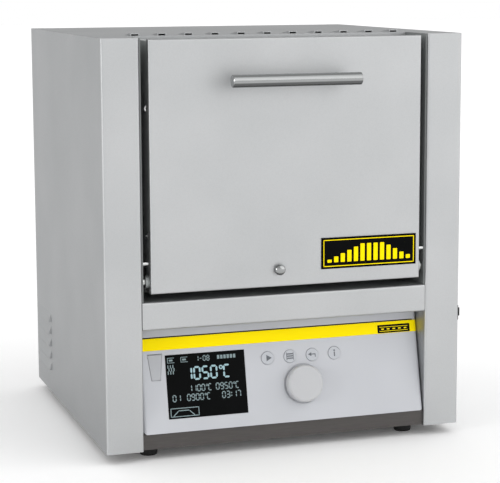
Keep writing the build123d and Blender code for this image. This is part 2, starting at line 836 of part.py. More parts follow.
def chamber_deck():
    """Shelf that carries the inner casing above the electrical space."""
    side = case_inner - SEAM
    deck = block((-side, side), (shell_front, rear_inner - SEAM), (sill - SHEET, sill))
    for x, _, y in lead_places():
        deck -= upright_rod(x, y, sill - SHEET - OVERRUN, sill + OVERRUN, LEAD_HOLE_RADIUS)
    return deck


def inner_casing():
    """Second shell of the double-walled housing, open towards the door."""
    shell = block((-shell_half, shell_half), (shell_front, shell_back), (sill, shell_high))
    shell -= block(
        (-insulation_half, insulation_half),
        (shell_front - OVERRUN, insulation_back),
        (casing_floor, insulation_high),
    )
    front = insulation_back - OVERRUN
    back = shell_back + OVERRUN
    shell -= rod_y(0, front, back, exhaust_height, EXHAUST_TUBE_RADIUS + TUBE_FIT)
    shell -= rod_y(THERMOCOUPLE_OFFSET, front, back, chamber_middle, THERMOCOUPLE_RADIUS + TUBE_FIT)
    for x, height, _ in lead_places():
        shell -= rod_y(x, front, back, height, LEAD_HOLE_RADIUS)
    return shell


def insulation_layer(half, low, high):
    """A slab of insulation as deep as the chamber."""
    return block((-half, half), (chamber_front, chamber_back), (low, high))


def insulation_floor():
    return insulation_layer(insulation_half, casing_floor, tile_low)


def insulation_roof():
    return insulation_layer(insulation_half, chamber_high, insulation_high)


def insulation_sides():
    side = block((heater_outer, insulation_half), (chamber_front, chamber_back), (tile_low, chamber_high))
    return both_sides(side)


def insulation_wall(front, back):
    """A full wall of insulation across the inner casing."""
    return block((-insulation_half, insulation_half), (front, back), (casing_floor, insulation_high))


def insulation_collar():
    """Front ring of insulation, against which the door's plug closes."""
    mouth = block(
        (-chamber_half, chamber_half),
        (collar_front - OVERRUN, chamber_front + OVERRUN),
        (chamber_low, chamber_high),
    )
    return insulation_wall(collar_front, chamber_front) - mouth


def insulation_rear():
    """Back wall of insulation, bored for the exhaust, the thermocouple and the heater leads."""
    wall = insulation_wall(chamber_back, insulation_back)
    front = chamber_back - OVERRUN
    back = insulation_back + OVERRUN
    wall -= rod_y(0, front, back, exhaust_height, EXHAUST_TUBE_RADIUS + TUBE_FIT)
    wall -= rod_y(THERMOCOUPLE_OFFSET, front, back, chamber_middle, THERMOCOUPLE_RADIUS + TUBE_FIT)
    for x, height, _ in lead_places():
        wall -= rod_y(x, front, back, height, LEAD_RADIUS + TUBE_FIT)
    return wall


def heating_plate_right():
    return block((chamber_half, heater_outer), (chamber_front, chamber_back), (tile_low, chamber_high))


def heating_plate_left():
    return mirror(heating_plate_right(), about=Plane.YZ)


def chamber_floor_tile():
    half = chamber_half - FLOOR_TILE_GAP
    front = chamber_front + FLOOR_TILE_GAP
    return block((-half, half), (front, chamber_back - FLOOR_TILE_GAP), (tile_low, chamber_low))


def thermocouple():
    """Ceramic sheath that reaches into the chamber, with its connection head on the inner casing."""
    x = THERMOCOUPLE_OFFSET
    tip = chamber_back - THERMOCOUPLE_REACH
    back = shell_back + THERMOCOUPLE_HEAD
    sheath = rod_y(x, tip, back, chamber_middle, THERMOCOUPLE_RADIUS)
    return sheath + rod_y(x, shell_back, back, chamber_middle, THERMOCOUPLE_HEAD_RADIUS)


def exhaust_tube():
    """Ceramic tube from the chamber's back wall to the outlet."""
    back = rear_skin + EXHAUST_FLANGE
    outer = rod_y(0, chamber_back, back, exhaust_height, EXHAUST_TUBE_RADIUS)
    return outer - rod_y(0, chamber_back, back, exhaust_height, EXHAUST_TUBE_BORE)


def exhaust_outlet():
    """Steel stub with a flange on the rear panel, round the tube's end."""
    back = case_depth + EXHAUST_STUB_PROUD
    stub = rod_y(0, rear_skin, back, exhaust_height, EXHAUST_STUB_RADIUS)
    stub += rod_y(0, rear_skin, rear_skin + EXHAUST_FLANGE, exhaust_height, EXHAUST_FLANGE_RADIUS)
    return stub - rod_y(0, rear_skin, back, exhaust_height, EXHAUST_TUBE_RADIUS + TUBE_FIT)


def heater_lead(x, height, y):
    """One lead from a heating plate through the rear wall and down to its terminal."""
    terminal = (x, y, tray_floor + TERMINAL_HEIGHT)
    path = FilletPolyline((x, chamber_back, height), (x, y, height), terminal, radius=LEAD_BEND)
    section = Plane(origin=(x, chamber_back, height), z_dir=(0, 1, 0)) * Circle(LEAD_RADIUS)
    return sweep(section, path=path)


def heater_leads():
    return group(heater_lead(x, height, y) for x, height, y in lead_places())


def terminal_blocks():
    """Two ceramic terminal blocks on the tray, each with a slot between its two ways."""
    left = heater_middle - TERMINAL_WIDTH / 2
    right = heater_middle + TERMINAL_WIDTH / 2
    front = lead_low_row - TERMINAL_MARGIN
    back = lead_high_row + TERMINAL_MARGIN
    top = tray_floor + TERMINAL_HEIGHT
    middle = (lead_low_row + lead_high_row) / 2
    ceramic = block((left, right), (front, back), (tray_floor, top))
    ceramic -= block(
        (left - OVERRUN, right + OVERRUN),
        (middle - TERMINAL_SLOT_WIDTH / 2, middle + TERMINAL_SLOT_WIDTH / 2),
        (top - TERMINAL_SLOT_DEPTH, top + OVERRUN),
    )
    return both_sides(ceramic)


def solid_state_relay():
    """Relay on its finned heat sink, on the tray."""
    left = RELAY_OFFSET
    right = left + RELAY_WIDTH + 2 * SINK_EDGE
    rear = RELAY_SETBACK + RELAY_LENGTH
    fin_top = tray_floor + SINK_FIN_HEIGHT
    base_top = fin_top + SINK_BASE
    relay = block((left, right), (RELAY_SETBACK, rear), (fin_top, base_top))
    relay += block(
        (left + SINK_EDGE, right - SINK_EDGE),
        (RELAY_SETBACK, rear),
        (base_top, base_top + RELAY_HEIGHT),
    )
    pitch = (right - left - SINK_FIN_THICKNESS) / (SINK_FIN_COUNT - 1)
    for index in range(SINK_FIN_COUNT):
        fin = left + index * pitch
        relay += block((fin, fin + SINK_FIN_THICKNESS), (RELAY_SETBACK, rear), (tray_floor, fin_top))
    return relay


def mains_inlet():
    """Appliance inlet: flange, recess and three flat pins, the earth pin above the others."""
    half_width = INLET_WIDTH / 2
    half_height = INLET_HEIGHT / 2
    outside = rear_skin + INLET_FLANGE
    recess_floor = outside - INLET_RECESS
    x = inlet_middle
    z = INLET_RISE
    body = block(
        (x - half_width, x + half_width),
        (recess_floor - INLET_BACK, outside),
        (z - half_height, z + half_height),
    )
    body += block(
        (x - half_width - INLET_EAR, x + half_width + INLET_EAR),
        (rear_skin, outside),
        (z - half_height - INLET_WALL, z + half_height + INLET_WALL),
    )
    body -= block(
        (x - half_width + INLET_WALL, x + half_width - INLET_WALL),
        (recess_floor, outside + OVERRUN),
        (z - half_height + INLET_WALL, z + half_height - INLET_WALL),
    )
    line = z - INLET_PIN_DROP
    places = [(x - INLET_PIN_SPACING, line), (x, line + INLET_EARTH_RAISE), (x + INLET_PIN_SPACING, line)]
    for across, height in places:
        body += block(
            (across - INLET_PIN_THICKNESS / 2, across + INLET_PIN_THICKNESS / 2),
            (recess_floor - INLET_BACK, recess_floor + INLET_PIN_LENGTH),
            (height - INLET_PIN_HEIGHT / 2, height + INLET_PIN_HEIGHT / 2),
        )
    return body


def fuse_middles():
    """Places of the two fuse holders, beside the mains inlet."""
    first = inlet_middle - INLET_WIDTH / 2 - FUSE_GAP
    return [first, first - FUSE_PITCH]


def fuse_holder(x):
    """One fuse holder with a slotted cap."""
    cap_back = rear_skin + FUSE_CAP
    holder = rod_y(x, rear_skin - FUSE_BODY, rear_skin, INLET_RISE, FUSE_RADIUS)
    holder += rod_y(x, rear_skin, cap_back, INLET_RISE, FUSE_CAP_RADIUS)
    return holder - block(
        (x - FUSE_CAP_RADIUS, x + FUSE_CAP_RADIUS),
        (cap_back - FUSE_SLOT_DEPTH, cap_back + OVERRUN),
        (INLET_RISE - FUSE_SLOT_WIDTH / 2, INLET_RISE + FUSE_SLOT_WIDTH / 2),
    )


def fuse_holders():
    return group(fuse_holder(x) for x in fuse_middles())


def rear_panel_screw(height):
    """One screw on the right, through the side panel's return into the rear panel."""
    x = rear_screw_middle()
    shank = rod_y(x, case_depth - REAR_SCREW_LENGTH, case_depth, height, REAR_SCREW_RADIUS)
    return shank + rod_y(x, case_depth, case_depth + REAR_SCREW_HEAD, height, REAR_SCREW_HEAD_RADIUS)


def rear_panel_screws():
    return both_sides(group(rear_panel_screw(height) for height in rear_screw_heights()))


def panel_path(inset):
    """Side view of the control panel housing as (y, z) points, from its top back to its bottom back."""
    outer = [
        (panel_back, lip_top),
        (PANEL_FRONT + panel_lean + PANEL_LIP_LEAN, lip_top),
        (PANEL_FRONT + panel_lean, panel_top),
        (PANEL_FRONT, PANEL_BOTTOM),
        (panel_back, PANEL_BOTTOM),
    ]
    return offset_chain(outer, inset)


def panel_form(grow):
    """Outer form of the housing with its rounded front edges, grown or shrunk by a little."""
    half = panel_half + grow
    form = prism_x(panel_path(-grow), -half, half)
    edges = form.edges().filter_by_position(Axis.Y, PANEL_FRONT - OVERRUN, panel_back - OVERRUN)
    upright = [edge for edge in edges if abs(edge.center().X) > half - SEAM]
    return fillet(upright, PANEL_EDGE_RADIUS + grow)


def stripe_band(low):
    """The band of the panel face that the stripe lies in, round to the panel's sides."""
    side = panel_half + OVERRUN
    return on_panel(block((-side, side), (low, groove_low), (-PANEL_EDGE_RADIUS, OVERRUN)))


def flap_outline(grow):
    """The USB flap's outline on the panel face, grown on every side."""
    top = FLAP_TOP_WIDTH / 2 + grow
    bottom = FLAP_BOTTOM_WIDTH / 2 + grow
    return [
        (flap_middle - top, flap_top + grow),
        (flap_middle - bottom, flap_bottom - grow),
        (flap_middle + bottom, flap_bottom - grow),
        (flap_middle + top, flap_top + grow),
    ]


def key_middles():
    """The keys' places along their row."""
    return [key_first + index * KEY_PITCH for index in range(4)]


def boss_places():
    """Places of the bosses for the control board, two left of the display and two past the keys."""
    left = -panel_half + BOSS_SIDE_INSET
    right = dial_middle + BOSS_DIAL_SPACING
    return [
        (left, display_low),
        (left, display_low + BOSS_LEFT_SPACING),
        (right, display_low),
        (right, stripe_low - BOSS_TOP_INSET),
    ]


def usb_block(margin, low, high):
    """A block round the USB socket's opening, in the panel face's frame."""
    half_width = USB_WIDTH / 2 + margin
    half_length = USB_LENGTH / 2 + margin
    return block(
        (flap_middle - half_width, flap_middle + half_width),
        (usb_middle - half_length, usb_middle + half_length),
        (low, high),
    )


def housing_cutters():
    """Everything that is cut out of the sloping face, in the face's own frame."""
    side = panel_half + OVERRUN
    under = -PANEL_WALL - OVERRUN
    over = OVERRUN
    knuckle_half = FLAP_TOP_WIDTH / 2 + FLAP_GAP
    cutters = [
        block((-side, side), (groove_low, groove_low + GROOVE_HEIGHT), (-GROOVE_DEPTH, over)),
        block(
            (display_left, display_right),
            (display_low, display_high),
            (WINDOW_PROUD - WINDOW_THICKNESS, over),
        ),
        block(
            (display_left + DISPLAY_LEDGE, display_right - DISPLAY_LEDGE),
            (display_low + DISPLAY_LEDGE, display_high - DISPLAY_LEDGE),
            (under, over),
        ),
        prism_z(flap_outline(FLAP_GAP), FLAP_PROUD - FLAP_THICKNESS - FLAP_GAP, over),
        block(
            (flap_middle - knuckle_half, flap_middle + knuckle_half),
            (flap_pivot - KNUCKLE_RADIUS - FLAP_GAP, flap_top + FLAP_GAP),
            (flap_pivot_depth - KNUCKLE_RADIUS - FLAP_GAP, over),
        ),
        usb_block(USB_SHELL + SEAM, under, over),
        upright_rod(dial_middle, dial_row, -DIAL_WELL_DEPTH, over, DIAL_RADIUS + DIAL_WELL_MARGIN),
        upright_rod(dial_middle, dial_row, under, over, collar_radius + SHAFT_HOLE_MARGIN),
    ]
    for middle in key_middles():
        cutters.append(upright_rod(middle, key_row, under, over, KEY_RADIUS + KEY_CLEARANCE))
    return cutters


def control_panel_housing():
    """Moulded housing with the sloping face, its bosses and the pin of the USB flap."""
    inner = panel_path(PANEL_WALL)
    inner[0] = (panel_back + OVERRUN, inner[0][1])
    inner[-1] = (panel_back + OVERRUN, inner[-1][1])
    housing = panel_form(0) - prism_x(inner, -panel_half + PANEL_WALL, panel_half - PANEL_WALL)
    housing -= stripe_band(stripe_low) - panel_form(-STRIPE_RECESS)
    for cutter in housing_cutters():
        housing -= on_panel(cutter)
    for x, up in boss_places():
        housing += on_panel(upright_rod(x, up, -BOARD_DEPTH, -PANEL_WALL, BOSS_RADIUS))
    pin_half = FLAP_TOP_WIDTH / 2 + FLAP_GAP + FLAP_PIN_SEAT
    pin = rod_x(flap_middle - pin_half, flap_middle + pin_half, flap_pivot, flap_pivot_depth, FLAP_PIN_RADIUS)
    return housing + on_panel(pin)


def accent_stripe():
    """Coloured strip across the top of the face, wrapped round the panel's rounded edges."""
    band = panel_form(STRIPE_PROUD) & stripe_band(stripe_low + SEAM)
    return band - panel_form(-STRIPE_RECESS)


def display_window():
    return on_panel(
        block(
            (display_left + WINDOW_FIT, display_right - WINDOW_FIT),
            (display_low + WINDOW_FIT, display_high - WINDOW_FIT),
            (WINDOW_PROUD - WINDOW_THICKNESS, WINDOW_PROUD),
        )
    )


def display_module():
    """The screen itself, between the housing's ledge and the board."""
    return on_panel(
        block(
            (display_left + DISPLAY_MODULE_MARGIN, display_right - DISPLAY_MODULE_MARGIN),
            (display_low + DISPLAY_MODULE_MARGIN, display_high - DISPLAY_MODULE_MARGIN),
            (-BOARD_DEPTH, -PANEL_WALL),
        )
    )


def control_board():
    """Board on the housing's bosses, parallel to the sloping face."""
    across = [x for x, _ in boss_places()]
    up = [place for _, place in boss_places()]
    return on_panel(
        block(
            (min(across) - BOSS_RADIUS, max(across) + BOSS_RADIUS),
            (min(up) - BOSS_RADIUS, max(up) + BOSS_RADIUS),
            (-BOARD_DEPTH - BOARD_THICKNESS, -BOARD_DEPTH),
        )
    )


def key(middle):
    """One round key: cap through the face, flange behind it, stem towards its switch."""
    flange_top = -PANEL_WALL - KEY_BACK_GAP
    flange_low = flange_top - KEY_FLANGE
    stem_low = -BOARD_DEPTH + SWITCH_RISE + KEY_TRAVEL + SWITCH_GAP
    shape = upright_rod(middle, key_row, flange_top, KEY_PROUD, KEY_RADIUS)
    shape += upright_rod(middle, key_row, flange_low, flange_top, KEY_RADIUS + KEY_FLANGE_MARGIN)
    shape += upright_rod(middle, key_row, stem_low, flange_low, KEY_STEM_RADIUS)
    return on_panel(shape)


def key_start():
    return key(key_middles()[0])


def key_menu():
    return key(key_middles()[1])


def key_back():
    return key(key_middles()[2])


def key_info():
    return key(key_middles()[3])


def key_switch(middle):
    """One push switch on the board, under its key."""
    half = SWITCH_SIZE / 2
    return on_panel(
        block(
            (middle - half, middle + half),
            (key_row - half, key_row + half),
            (-BOARD_DEPTH, -BOARD_DEPTH + SWITCH_RISE),
        )
    )


def key_switches():
    return group(key_switch(middle) for middle in key_middles())


def encoder_body():
    """Rotary encoder on the board, bored for the push sleeve."""
    half = sleeve_radius + SHAFT_PLAY + ENCODER_WALL
    top = sleeve_top - ENCODER_DROP
    body = block(
        (dial_middle - half, dial_middle + half),
        (dial_row - half, dial_row + half),
        (-BOARD_DEPTH, top),
    )
    bore = sleeve_radius + SHAFT_PLAY
    return on_panel(body - upright_rod(dial_middle, dial_row, -BOARD_DEPTH, top, bore))


def dial_push_sleeve():
    """Sleeve that carries the dial's shaft and slides in the encoder when the dial is pressed."""
    sleeve = upright_rod(dial_middle, dial_row, sleeve_low, sleeve_top, sleeve_radius)
    bore = DIAL_SHAFT_RADIUS + SHAFT_PLAY
    return on_panel(sleeve - upright_rod(dial_middle, dial_row, sleeve_low, sleeve_top, bore))


def jog_dial():
    """Shallow round dial; the collar on its shaft rests on the sleeve."""
    low = DIAL_STANDOFF
    dial = upright_rod(dial_middle, dial_row, low, low + DIAL_HEIGHT, DIAL_RADIUS)
    rim = dial.edges().filter_by(GeomType.CIRCLE).sort_by(Axis.Z)[-1]
    dial = fillet(rim, DIAL_ROUNDING)
    dial += upright_rod(dial_middle, dial_row, sleeve_low + DIAL_SHAFT_RAISE, low, DIAL_SHAFT_RADIUS)
    dial += upright_rod(dial_middle, dial_row, sleeve_top + DIAL_SEAT_GAP, low, collar_radius)
    return on_panel(dial)


def usb_socket():
    """Metal shell of the socket, upright behind the flap, standing on the board."""
    mouth = FLAP_PROUD - FLAP_THICKNESS - USB_FLAP_GAP
    shell = usb_block(USB_SHELL, -BOARD_DEPTH, mouth)
    return on_panel(shell - usb_block(0, -BOARD_DEPTH + USB_FLOOR, mouth + OVERRUN))


def usb_flap():
    """Flap over the socket, hung on a pin along its upper edge."""
    left = flap_left
    right = flap_left + FLAP_TOP_WIDTH
    low = FLAP_PROUD - FLAP_THICKNESS
    flap = prism_z(flap_outline(0), low, FLAP_PROUD)
    flap -= block((left - OVERRUN, right + OVERRUN), (flap_pivot, flap_top + OVERRUN), (low, FLAP_PROUD))
    flap += rod_x(left, right, flap_pivot, flap_pivot_depth, KNUCKLE_RADIUS)
    bore = FLAP_PIN_RADIUS + SHAFT_PLAY
    return on_panel(flap - rod_x(left - OVERRUN, right + OVERRUN, flap_pivot, flap_pivot_depth, bore))


def power_switch_body():
    """Switch body and bezel in the right side panel, with the rocker's pin across its well."""
    y = ROCKER_SETBACK
    z = ROCKER_RISE
    bezel = case_half + BEZEL_THICKNESS
    body = block(
        (case_half, bezel),
        (y - BEZEL_LENGTH / 2, y + BEZEL_LENGTH / 2),
        (z - BEZEL_HEIGHT / 2, z + BEZEL_HEIGHT / 2),
    )
    body += block(
        (case_half - SWITCH_BODY_DEPTH, case_half),
        (y - switch_length, y + switch_length),
        (z - switch_height, z + switch_height),
    )
    body -= block(
        (case_half - SWITCH_WELL, bezel + OVERRUN),
        (y - well_length, y + well_length),
        (z - well_height, z + well_height),
    )
    return body + upright_rod(rocker_pivot, y, z - well_height, z + well_height, ROCKER_PIN_RADIUS)


def power_rocker():
    """Rocker with two faces that meet at its waist, tipped to its off end."""
    half_height = well_height - ROCKER_SIDE_GAP
    end = well_length - ROCKER_END_GAP
    outline = [
        (-ROCKER_ROOT, -end + ROCKER_ROOT_SLANT),
        (-ROCKER_ROOT, end - ROCKER_ROOT_SLANT),
        (ROCKER_END, end),
        (ROCKER_WAIST, 0),
        (ROCKER_END, -end),
    ]
    rocker = prism_z(outline, -half_height, half_height)
    rocker -= Cylinder(ROCKER_PIN_RADIUS + SHAFT_PLAY, 2 * half_height)
    return Pos(rocker_pivot, ROCKER_SETBACK, ROCKER_RISE) * Rot(0, 0, -ROCKER_TILT) * rocker


def hinge_bush_hole():
    """The cutter for the hinge bushes through both sides of the door."""
    low = frame_half - SHEET - OVERRUN
    high = door_half + OVERRUN
    return both_sides(rod_x(low, high, hinge_depth, hinge_height, bush_radius + FIXED_PLAY))


def door_cover():
    """Pale outer sheet of the door, with short returns all round and a boss for the air spindle."""
    outside = block((-door_half, door_half), (-DOOR_PROUD, -DOOR_PROUD + DOOR_RETURN), (door_low, door_high))
    front_edges = outside.edges().group_by(Axis.Y)[0]
    cover = fillet(front_edges, BEND + SHEET / 2)
    cover -= block(
        (-door_half + SHEET, door_half - SHEET),
        (cover_back, -DOOR_PROUD + DOOR_RETURN + OVERRUN),
        (door_low + SHEET, door_high - SHEET),
    )
    cover -= hinge_bush_hole()
    x = AIR_KNOB_OFFSET
    boss_end = cover_back + AIR_BOSS_LENGTH
    cover += rod_y(x, cover_back, boss_end, knob_height, AIR_SPINDLE_RADIUS + AIR_BOSS_WALL)
    return cover - rod_y(x, -DOOR_PROUD - OVERRUN, boss_end, knob_height, AIR_SPINDLE_RADIUS + SHAFT_PLAY)


def frame_screw_heights():
    """Heights of the bright screws in the door frame's sides."""
    low = door_low + FRAME_SCREW_LOW
    return [low, low + FRAME_SCREW_SPACING]


def door_frame():
    """Dark box behind the cover, bored for the hinge bushes and the side screws."""
    frame = block((-frame_half, frame_half), (frame_front, plate_front), (frame_low, frame_high))
    frame -= block(
        (-frame_half + SHEET, frame_half - SHEET),
        (frame_front - OVERRUN, plate_front + OVERRUN),
        (frame_low + SHEET, frame_high - SHEET),
    )
    low = frame_half - SHEET - OVERRUN
    high = frame_half + OVERRUN
    frame -= hinge_bush_hole()
    for height in frame_screw_heights():
        frame -= both_sides(rod_x(low, high, FRAME_SCREW_SETBACK, height, FRAME_SCREW_RADIUS + FIXED_PLAY))
    return frame


def door_frame_screw(height):
    """One screw in the right side of the door frame."""
    inner = frame_half - FRAME_SCREW_LENGTH
    shank = rod_x(inner, frame_half, FRAME_SCREW_SETBACK, height, FRAME_SCREW_RADIUS)
    outer = frame_half + FRAME_SCREW_HEAD
    return shank + rod_x(frame_half, outer, FRAME_SCREW_SETBACK, height, FRAME_SCREW_HEAD_RADIUS)


def door_frame_screws():
    return both_sides(group(door_frame_screw(height) for height in frame_screw_heights()))


def plug_block(margin, front, back):
    """A block with the plug's outline, grown by a margin."""
    half = plug_half + margin
    return block((-half, half), (front, back), (plug_low - margin, plug_high + margin))


def door_back_plate():
    """Back of the door round the insulating plug; the work surface when the door is open."""
    plate = block((-frame_half, frame_half), (plate_front, DOOR_DEPTH), (frame_low, frame_high))
    return plate - plug_block(PLUG_FIT, plate_front - OVERRUN, DOOR_DEPTH + OVERRUN)


def air_tube_hole():
    """The cutter for the air inlet tube through the door's insulation."""
    radius = AIR_TUBE_RADIUS + AIR_TUBE_FIT
    return rod_y(AIR_KNOB_OFFSET, core_front - OVERRUN, plug_back + OVERRUN, air_tube_height, radius)


def door_insulation():
    """Insulating slab that fills the door behind its cover."""
    low = frame_low + SHEET + CORE_MARGIN
    high = frame_high - SHEET - CORE_MARGIN
    return block((-core_half, core_half), (core_front, plate_front), (low, high)) - air_tube_hole()


def door_plug():
    """Raised block of insulation that closes the chamber's mouth."""
    return plug_block(0, plate_front, plug_back) - air_tube_hole()


def door_seal():
    """Fibre strip round the plug, pressed against the surround when the door is shut."""
    inner = PLUG_GAP + SHEET + PLUG_FIT
    back = DOOR_DEPTH + SURROUND_GAP - SEAL_GAP
    return plug_block(inner + SEAL_WIDTH, DOOR_DEPTH, back) - plug_block(inner, DOOR_DEPTH, back)


def air_inlet_tube():
    """Tube from the shutter to the plug's face, seen as a small hole in the chamber's front."""
    outer = rod_y(AIR_KNOB_OFFSET, air_tube_front, plug_back, air_tube_height, AIR_TUBE_RADIUS)
    return outer - rod_y(AIR_KNOB_OFFSET, air_tube_front, plug_back, air_tube_height, AIR_TUBE_BORE)


def air_shutter():
    """Spindle with the shutter lever, whose round end covers the air tube's mouth."""
    x = AIR_KNOB_OFFSET
    lobe = AIR_TUBE_RADIUS + SHUTTER_OVERLAP
    shutter = rod_y(x, spindle_front, shutter_back, knob_height, AIR_SPINDLE_RADIUS)
    shutter += rod_y(x, shutter_front, shutter_back, air_tube_height, lobe)
    shutter += rod_y(x, shutter_front, shutter_back, knob_height, lobe)
    lever = block((x - lobe / 2, x + lobe / 2), (shutter_front, shutter_back), (knob_height, air_tube_height))
    return shutter + lever


def air_knob():
    """Small metal knob on the spindle."""
    knob = rod_y(AIR_KNOB_OFFSET, air_knob_front, air_knob_back, knob_height, AIR_KNOB_RADIUS)
    rim = knob.edges().filter_by(GeomType.CIRCLE).sort_by(Axis.Y)[0]
    knob = chamfer(rim, AIR_KNOB_CHAMFER)
    return knob - rod_y(AIR_KNOB_OFFSET, spindle_front, air_knob_back, knob_height, AIR_SPINDLE_RADIUS)


def handle_form():
    return rod_x(-handle_half, handle_half, handle_axis, handle_height, HANDLE_RADIUS)


def handle_bar():
    """Straight round bar across the door."""
    return chamfer(handle_form().edges().filter_by(GeomType.CIRCLE), HANDLE_CHAMFER)


def handle_posts():
    """Two posts that carry the bar, hollowed at the end to sit on it."""
    post = rod_y(handle_half - POST_INSET, handle_axis, -DOOR_PROUD, handle_height, POST_RADIUS)
    return both_sides(post - handle_form())


def name_plate():
    """Plain plate near the door's lower right corner."""
    right = door_half - NAME_PLATE_MARGIN
    low = door_low + NAME_PLATE_RISE
    return block(
        (right - NAME_PLATE_WIDTH, right),
        (-DOOR_PROUD - NAME_PLATE_THICKNESS, -DOOR_PROUD),
        (low, low + NAME_PLATE_HEIGHT),
    )


def hinge_arms():
    """Bushes in the door frame's sides, each with a stop arm on it."""
    inner = pin_inner + BUSH_END_GAP
    arm = rod_x(inner, arm_outer, hinge_depth, hinge_height, bush_radius)
    arm += block(
        (arm_inner, arm_outer),
        (hinge_depth, hinge_depth + ARM_LENGTH),
        (hinge_height - ARM_HALF_WIDTH, hinge_height + ARM_HALF_WIDTH),
    )
    bore = HINGE_PIN_RADIUS + RUNNING_PLAY
    return both_sides(arm - rod_x(inner, arm_outer, hinge_depth, hinge_height, bore))


def headed_pin(inner, y, z, radius, head_radius):
    """A pin from inside the bay through the right pillar's return, headed inside the pillar."""
    skin = bay_half + SHEET
    outer = skin + HINGE_HEAD
    return rod_x(inner, outer, y, z, radius) + rod_x(skin, outer, y, z, head_radius)


def hinge_pins():
    return both_sides(headed_pin(pin_inner, hinge_depth, hinge_height, HINGE_PIN_RADIUS, HINGE_HEAD_RADIUS))


def door_stop_pins():
    """Pins that the hinge arms meet when the door is open."""
    head_radius = STOP_PIN_RADIUS + STOP_PIN_HEAD
    return both_sides(headed_pin(arm_inner, STOP_PIN_SETBACK, stop_height, STOP_PIN_RADIUS, head_radius))


PIECES = (
    left_side_panel,
    right_side_panel,
    roof_panel,
    rear_panel,
    base_tray,
    front_crossbar,
    door_surround,
    chamber_deck,
    inner_casing,
    insulation_floor,
    insulation_roof,
    insulation_sides,
    insulation_rear,
    insulation_collar,
    heating_plate_left,
    heating_plate_right,
    chamber_floor_tile,
    thermocouple,
    exhaust_tube,
    exhaust_outlet,
    heater_leads,
    terminal_blocks,
    solid_state_relay,
    mains_inlet,
    fuse_holders,
    rear_panel_screws,
    feet,
    control_panel_housing,
    accent_stripe,
    display_window,
    display_module,
    control_board,
    key_switches,
    encoder_body,
    usb_socket,
    power_switch_body,
    hinge_pins,
    door_stop_pins,
    door_cover,
    door_frame,
    door_back_plate,
    door_insulation,
    door_plug,
    door_seal,
    door_frame_screws,
    hinge_arms,
    handle_bar,
    handle_posts,
    name_plate,
    air_inlet_tube,
    air_knob,
    air_shutter,
    key_start,
    key_menu,
    key_back,
    key_info,
    jog_dial,
    dial_push_sleeve,
    usb_flap,
    power_rocker,
)

os.makedirs("parts", exist_ok=True)
for piece in PIECES:
    export_step(Pos(0, front_y, FOOT_HEIGHT) * piece(), f"parts/{piece.__name__}.step")
print(len(PIECES), "pieces written")
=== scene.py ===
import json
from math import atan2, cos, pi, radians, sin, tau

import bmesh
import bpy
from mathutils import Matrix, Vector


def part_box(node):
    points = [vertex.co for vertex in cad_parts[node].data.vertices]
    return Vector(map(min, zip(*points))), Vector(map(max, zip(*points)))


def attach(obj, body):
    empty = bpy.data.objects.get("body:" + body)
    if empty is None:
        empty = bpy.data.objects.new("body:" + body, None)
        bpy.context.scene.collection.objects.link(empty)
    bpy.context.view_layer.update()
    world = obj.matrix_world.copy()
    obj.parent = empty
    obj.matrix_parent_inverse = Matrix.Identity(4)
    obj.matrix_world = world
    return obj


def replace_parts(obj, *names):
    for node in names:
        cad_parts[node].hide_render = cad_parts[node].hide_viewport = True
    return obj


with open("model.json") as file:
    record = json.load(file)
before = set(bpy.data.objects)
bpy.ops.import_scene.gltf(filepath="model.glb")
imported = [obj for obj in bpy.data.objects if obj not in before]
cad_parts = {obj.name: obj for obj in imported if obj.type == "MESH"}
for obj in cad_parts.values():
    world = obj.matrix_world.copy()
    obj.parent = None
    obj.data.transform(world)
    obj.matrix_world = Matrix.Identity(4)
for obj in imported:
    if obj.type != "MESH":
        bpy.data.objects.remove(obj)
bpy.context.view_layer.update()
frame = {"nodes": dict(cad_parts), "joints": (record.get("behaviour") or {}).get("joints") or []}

# %% [markdown]
# # A bench box furnace, dressed for its picture
#
# The furnace's solid pieces are loaded above as a fixed frame. Everything in this file is added around
# them: finishes for the sheet steel, the fibre and the plastic, and the small pieces that are too fine
# for the solid model, such as the readout on the display and the signs on the keys.
# All lengths below are written in millimetres and turned to Blender's metres by one factor.

MM = 0.001

# %% [markdown]
# ## The camera
#
# The furnace is seen from its front left and a little from above, with a long lens, so its upright
# edges stay nearly parallel. The place and the turn below put the casing's corners where the picture
# has them. The lens axis passes above the middle of the picture, which is what shift_y gives.

# %% The camera
VIEW_TURN = radians(-18.22)
VIEW_RISE = radians(8.193)
VIEW_ROLL = radians(-0.229)
VIEW_PLACE = Vector((-554.9, -1731.5, 480.0)) * MM
FOCAL_PIXELS = 1666.0
PICTURE_WIDTH = 500.0
AXIS_SHIFT = -25.0

bpy.ops.object.camera_add(location=VIEW_PLACE, rotation=(pi / 2 - VIEW_RISE, 0, VIEW_TURN))
camera = bpy.context.object
camera.rotation_euler.rotate_axis("Z", VIEW_ROLL)
camera.data.sensor_width = 36
camera.data.lens = camera.data.sensor_width * FOCAL_PIXELS / PICTURE_WIDTH
camera.data.shift_y = AXIS_SHIFT / PICTURE_WIDTH
bpy.context.scene.camera = camera
bpy.context.scene.view_settings.view_transform = "Standard"
print("lens in mm:", round(camera.data.lens, 1))

# %% [markdown]
# ## Colours and nodes
#
# Colours are written as the sRGB hex values that a colour picker shows. Blender's sockets take linear
# light, so one function turns them. A second small function adds a node with its settings and links. A
# node given to a socket stands for the first output that it has in use.

# %% A colour
def linear(code):
    """An sRGB colour such as "#C8C9CA" as linear red, green, blue and alpha."""
    values = [int(code[i:i + 2], 16) / 255 for i in (1, 3, 5)]
    return (*[v / 12.92 if v <= 0.04045 else ((v + 0.055) / 1.055) ** 2.4 for v in values], 1.0)


# %% A node
def first_output(node):
    """What a node makes: its first output in use."""
    return next(output for output in node.outputs if output.enabled)


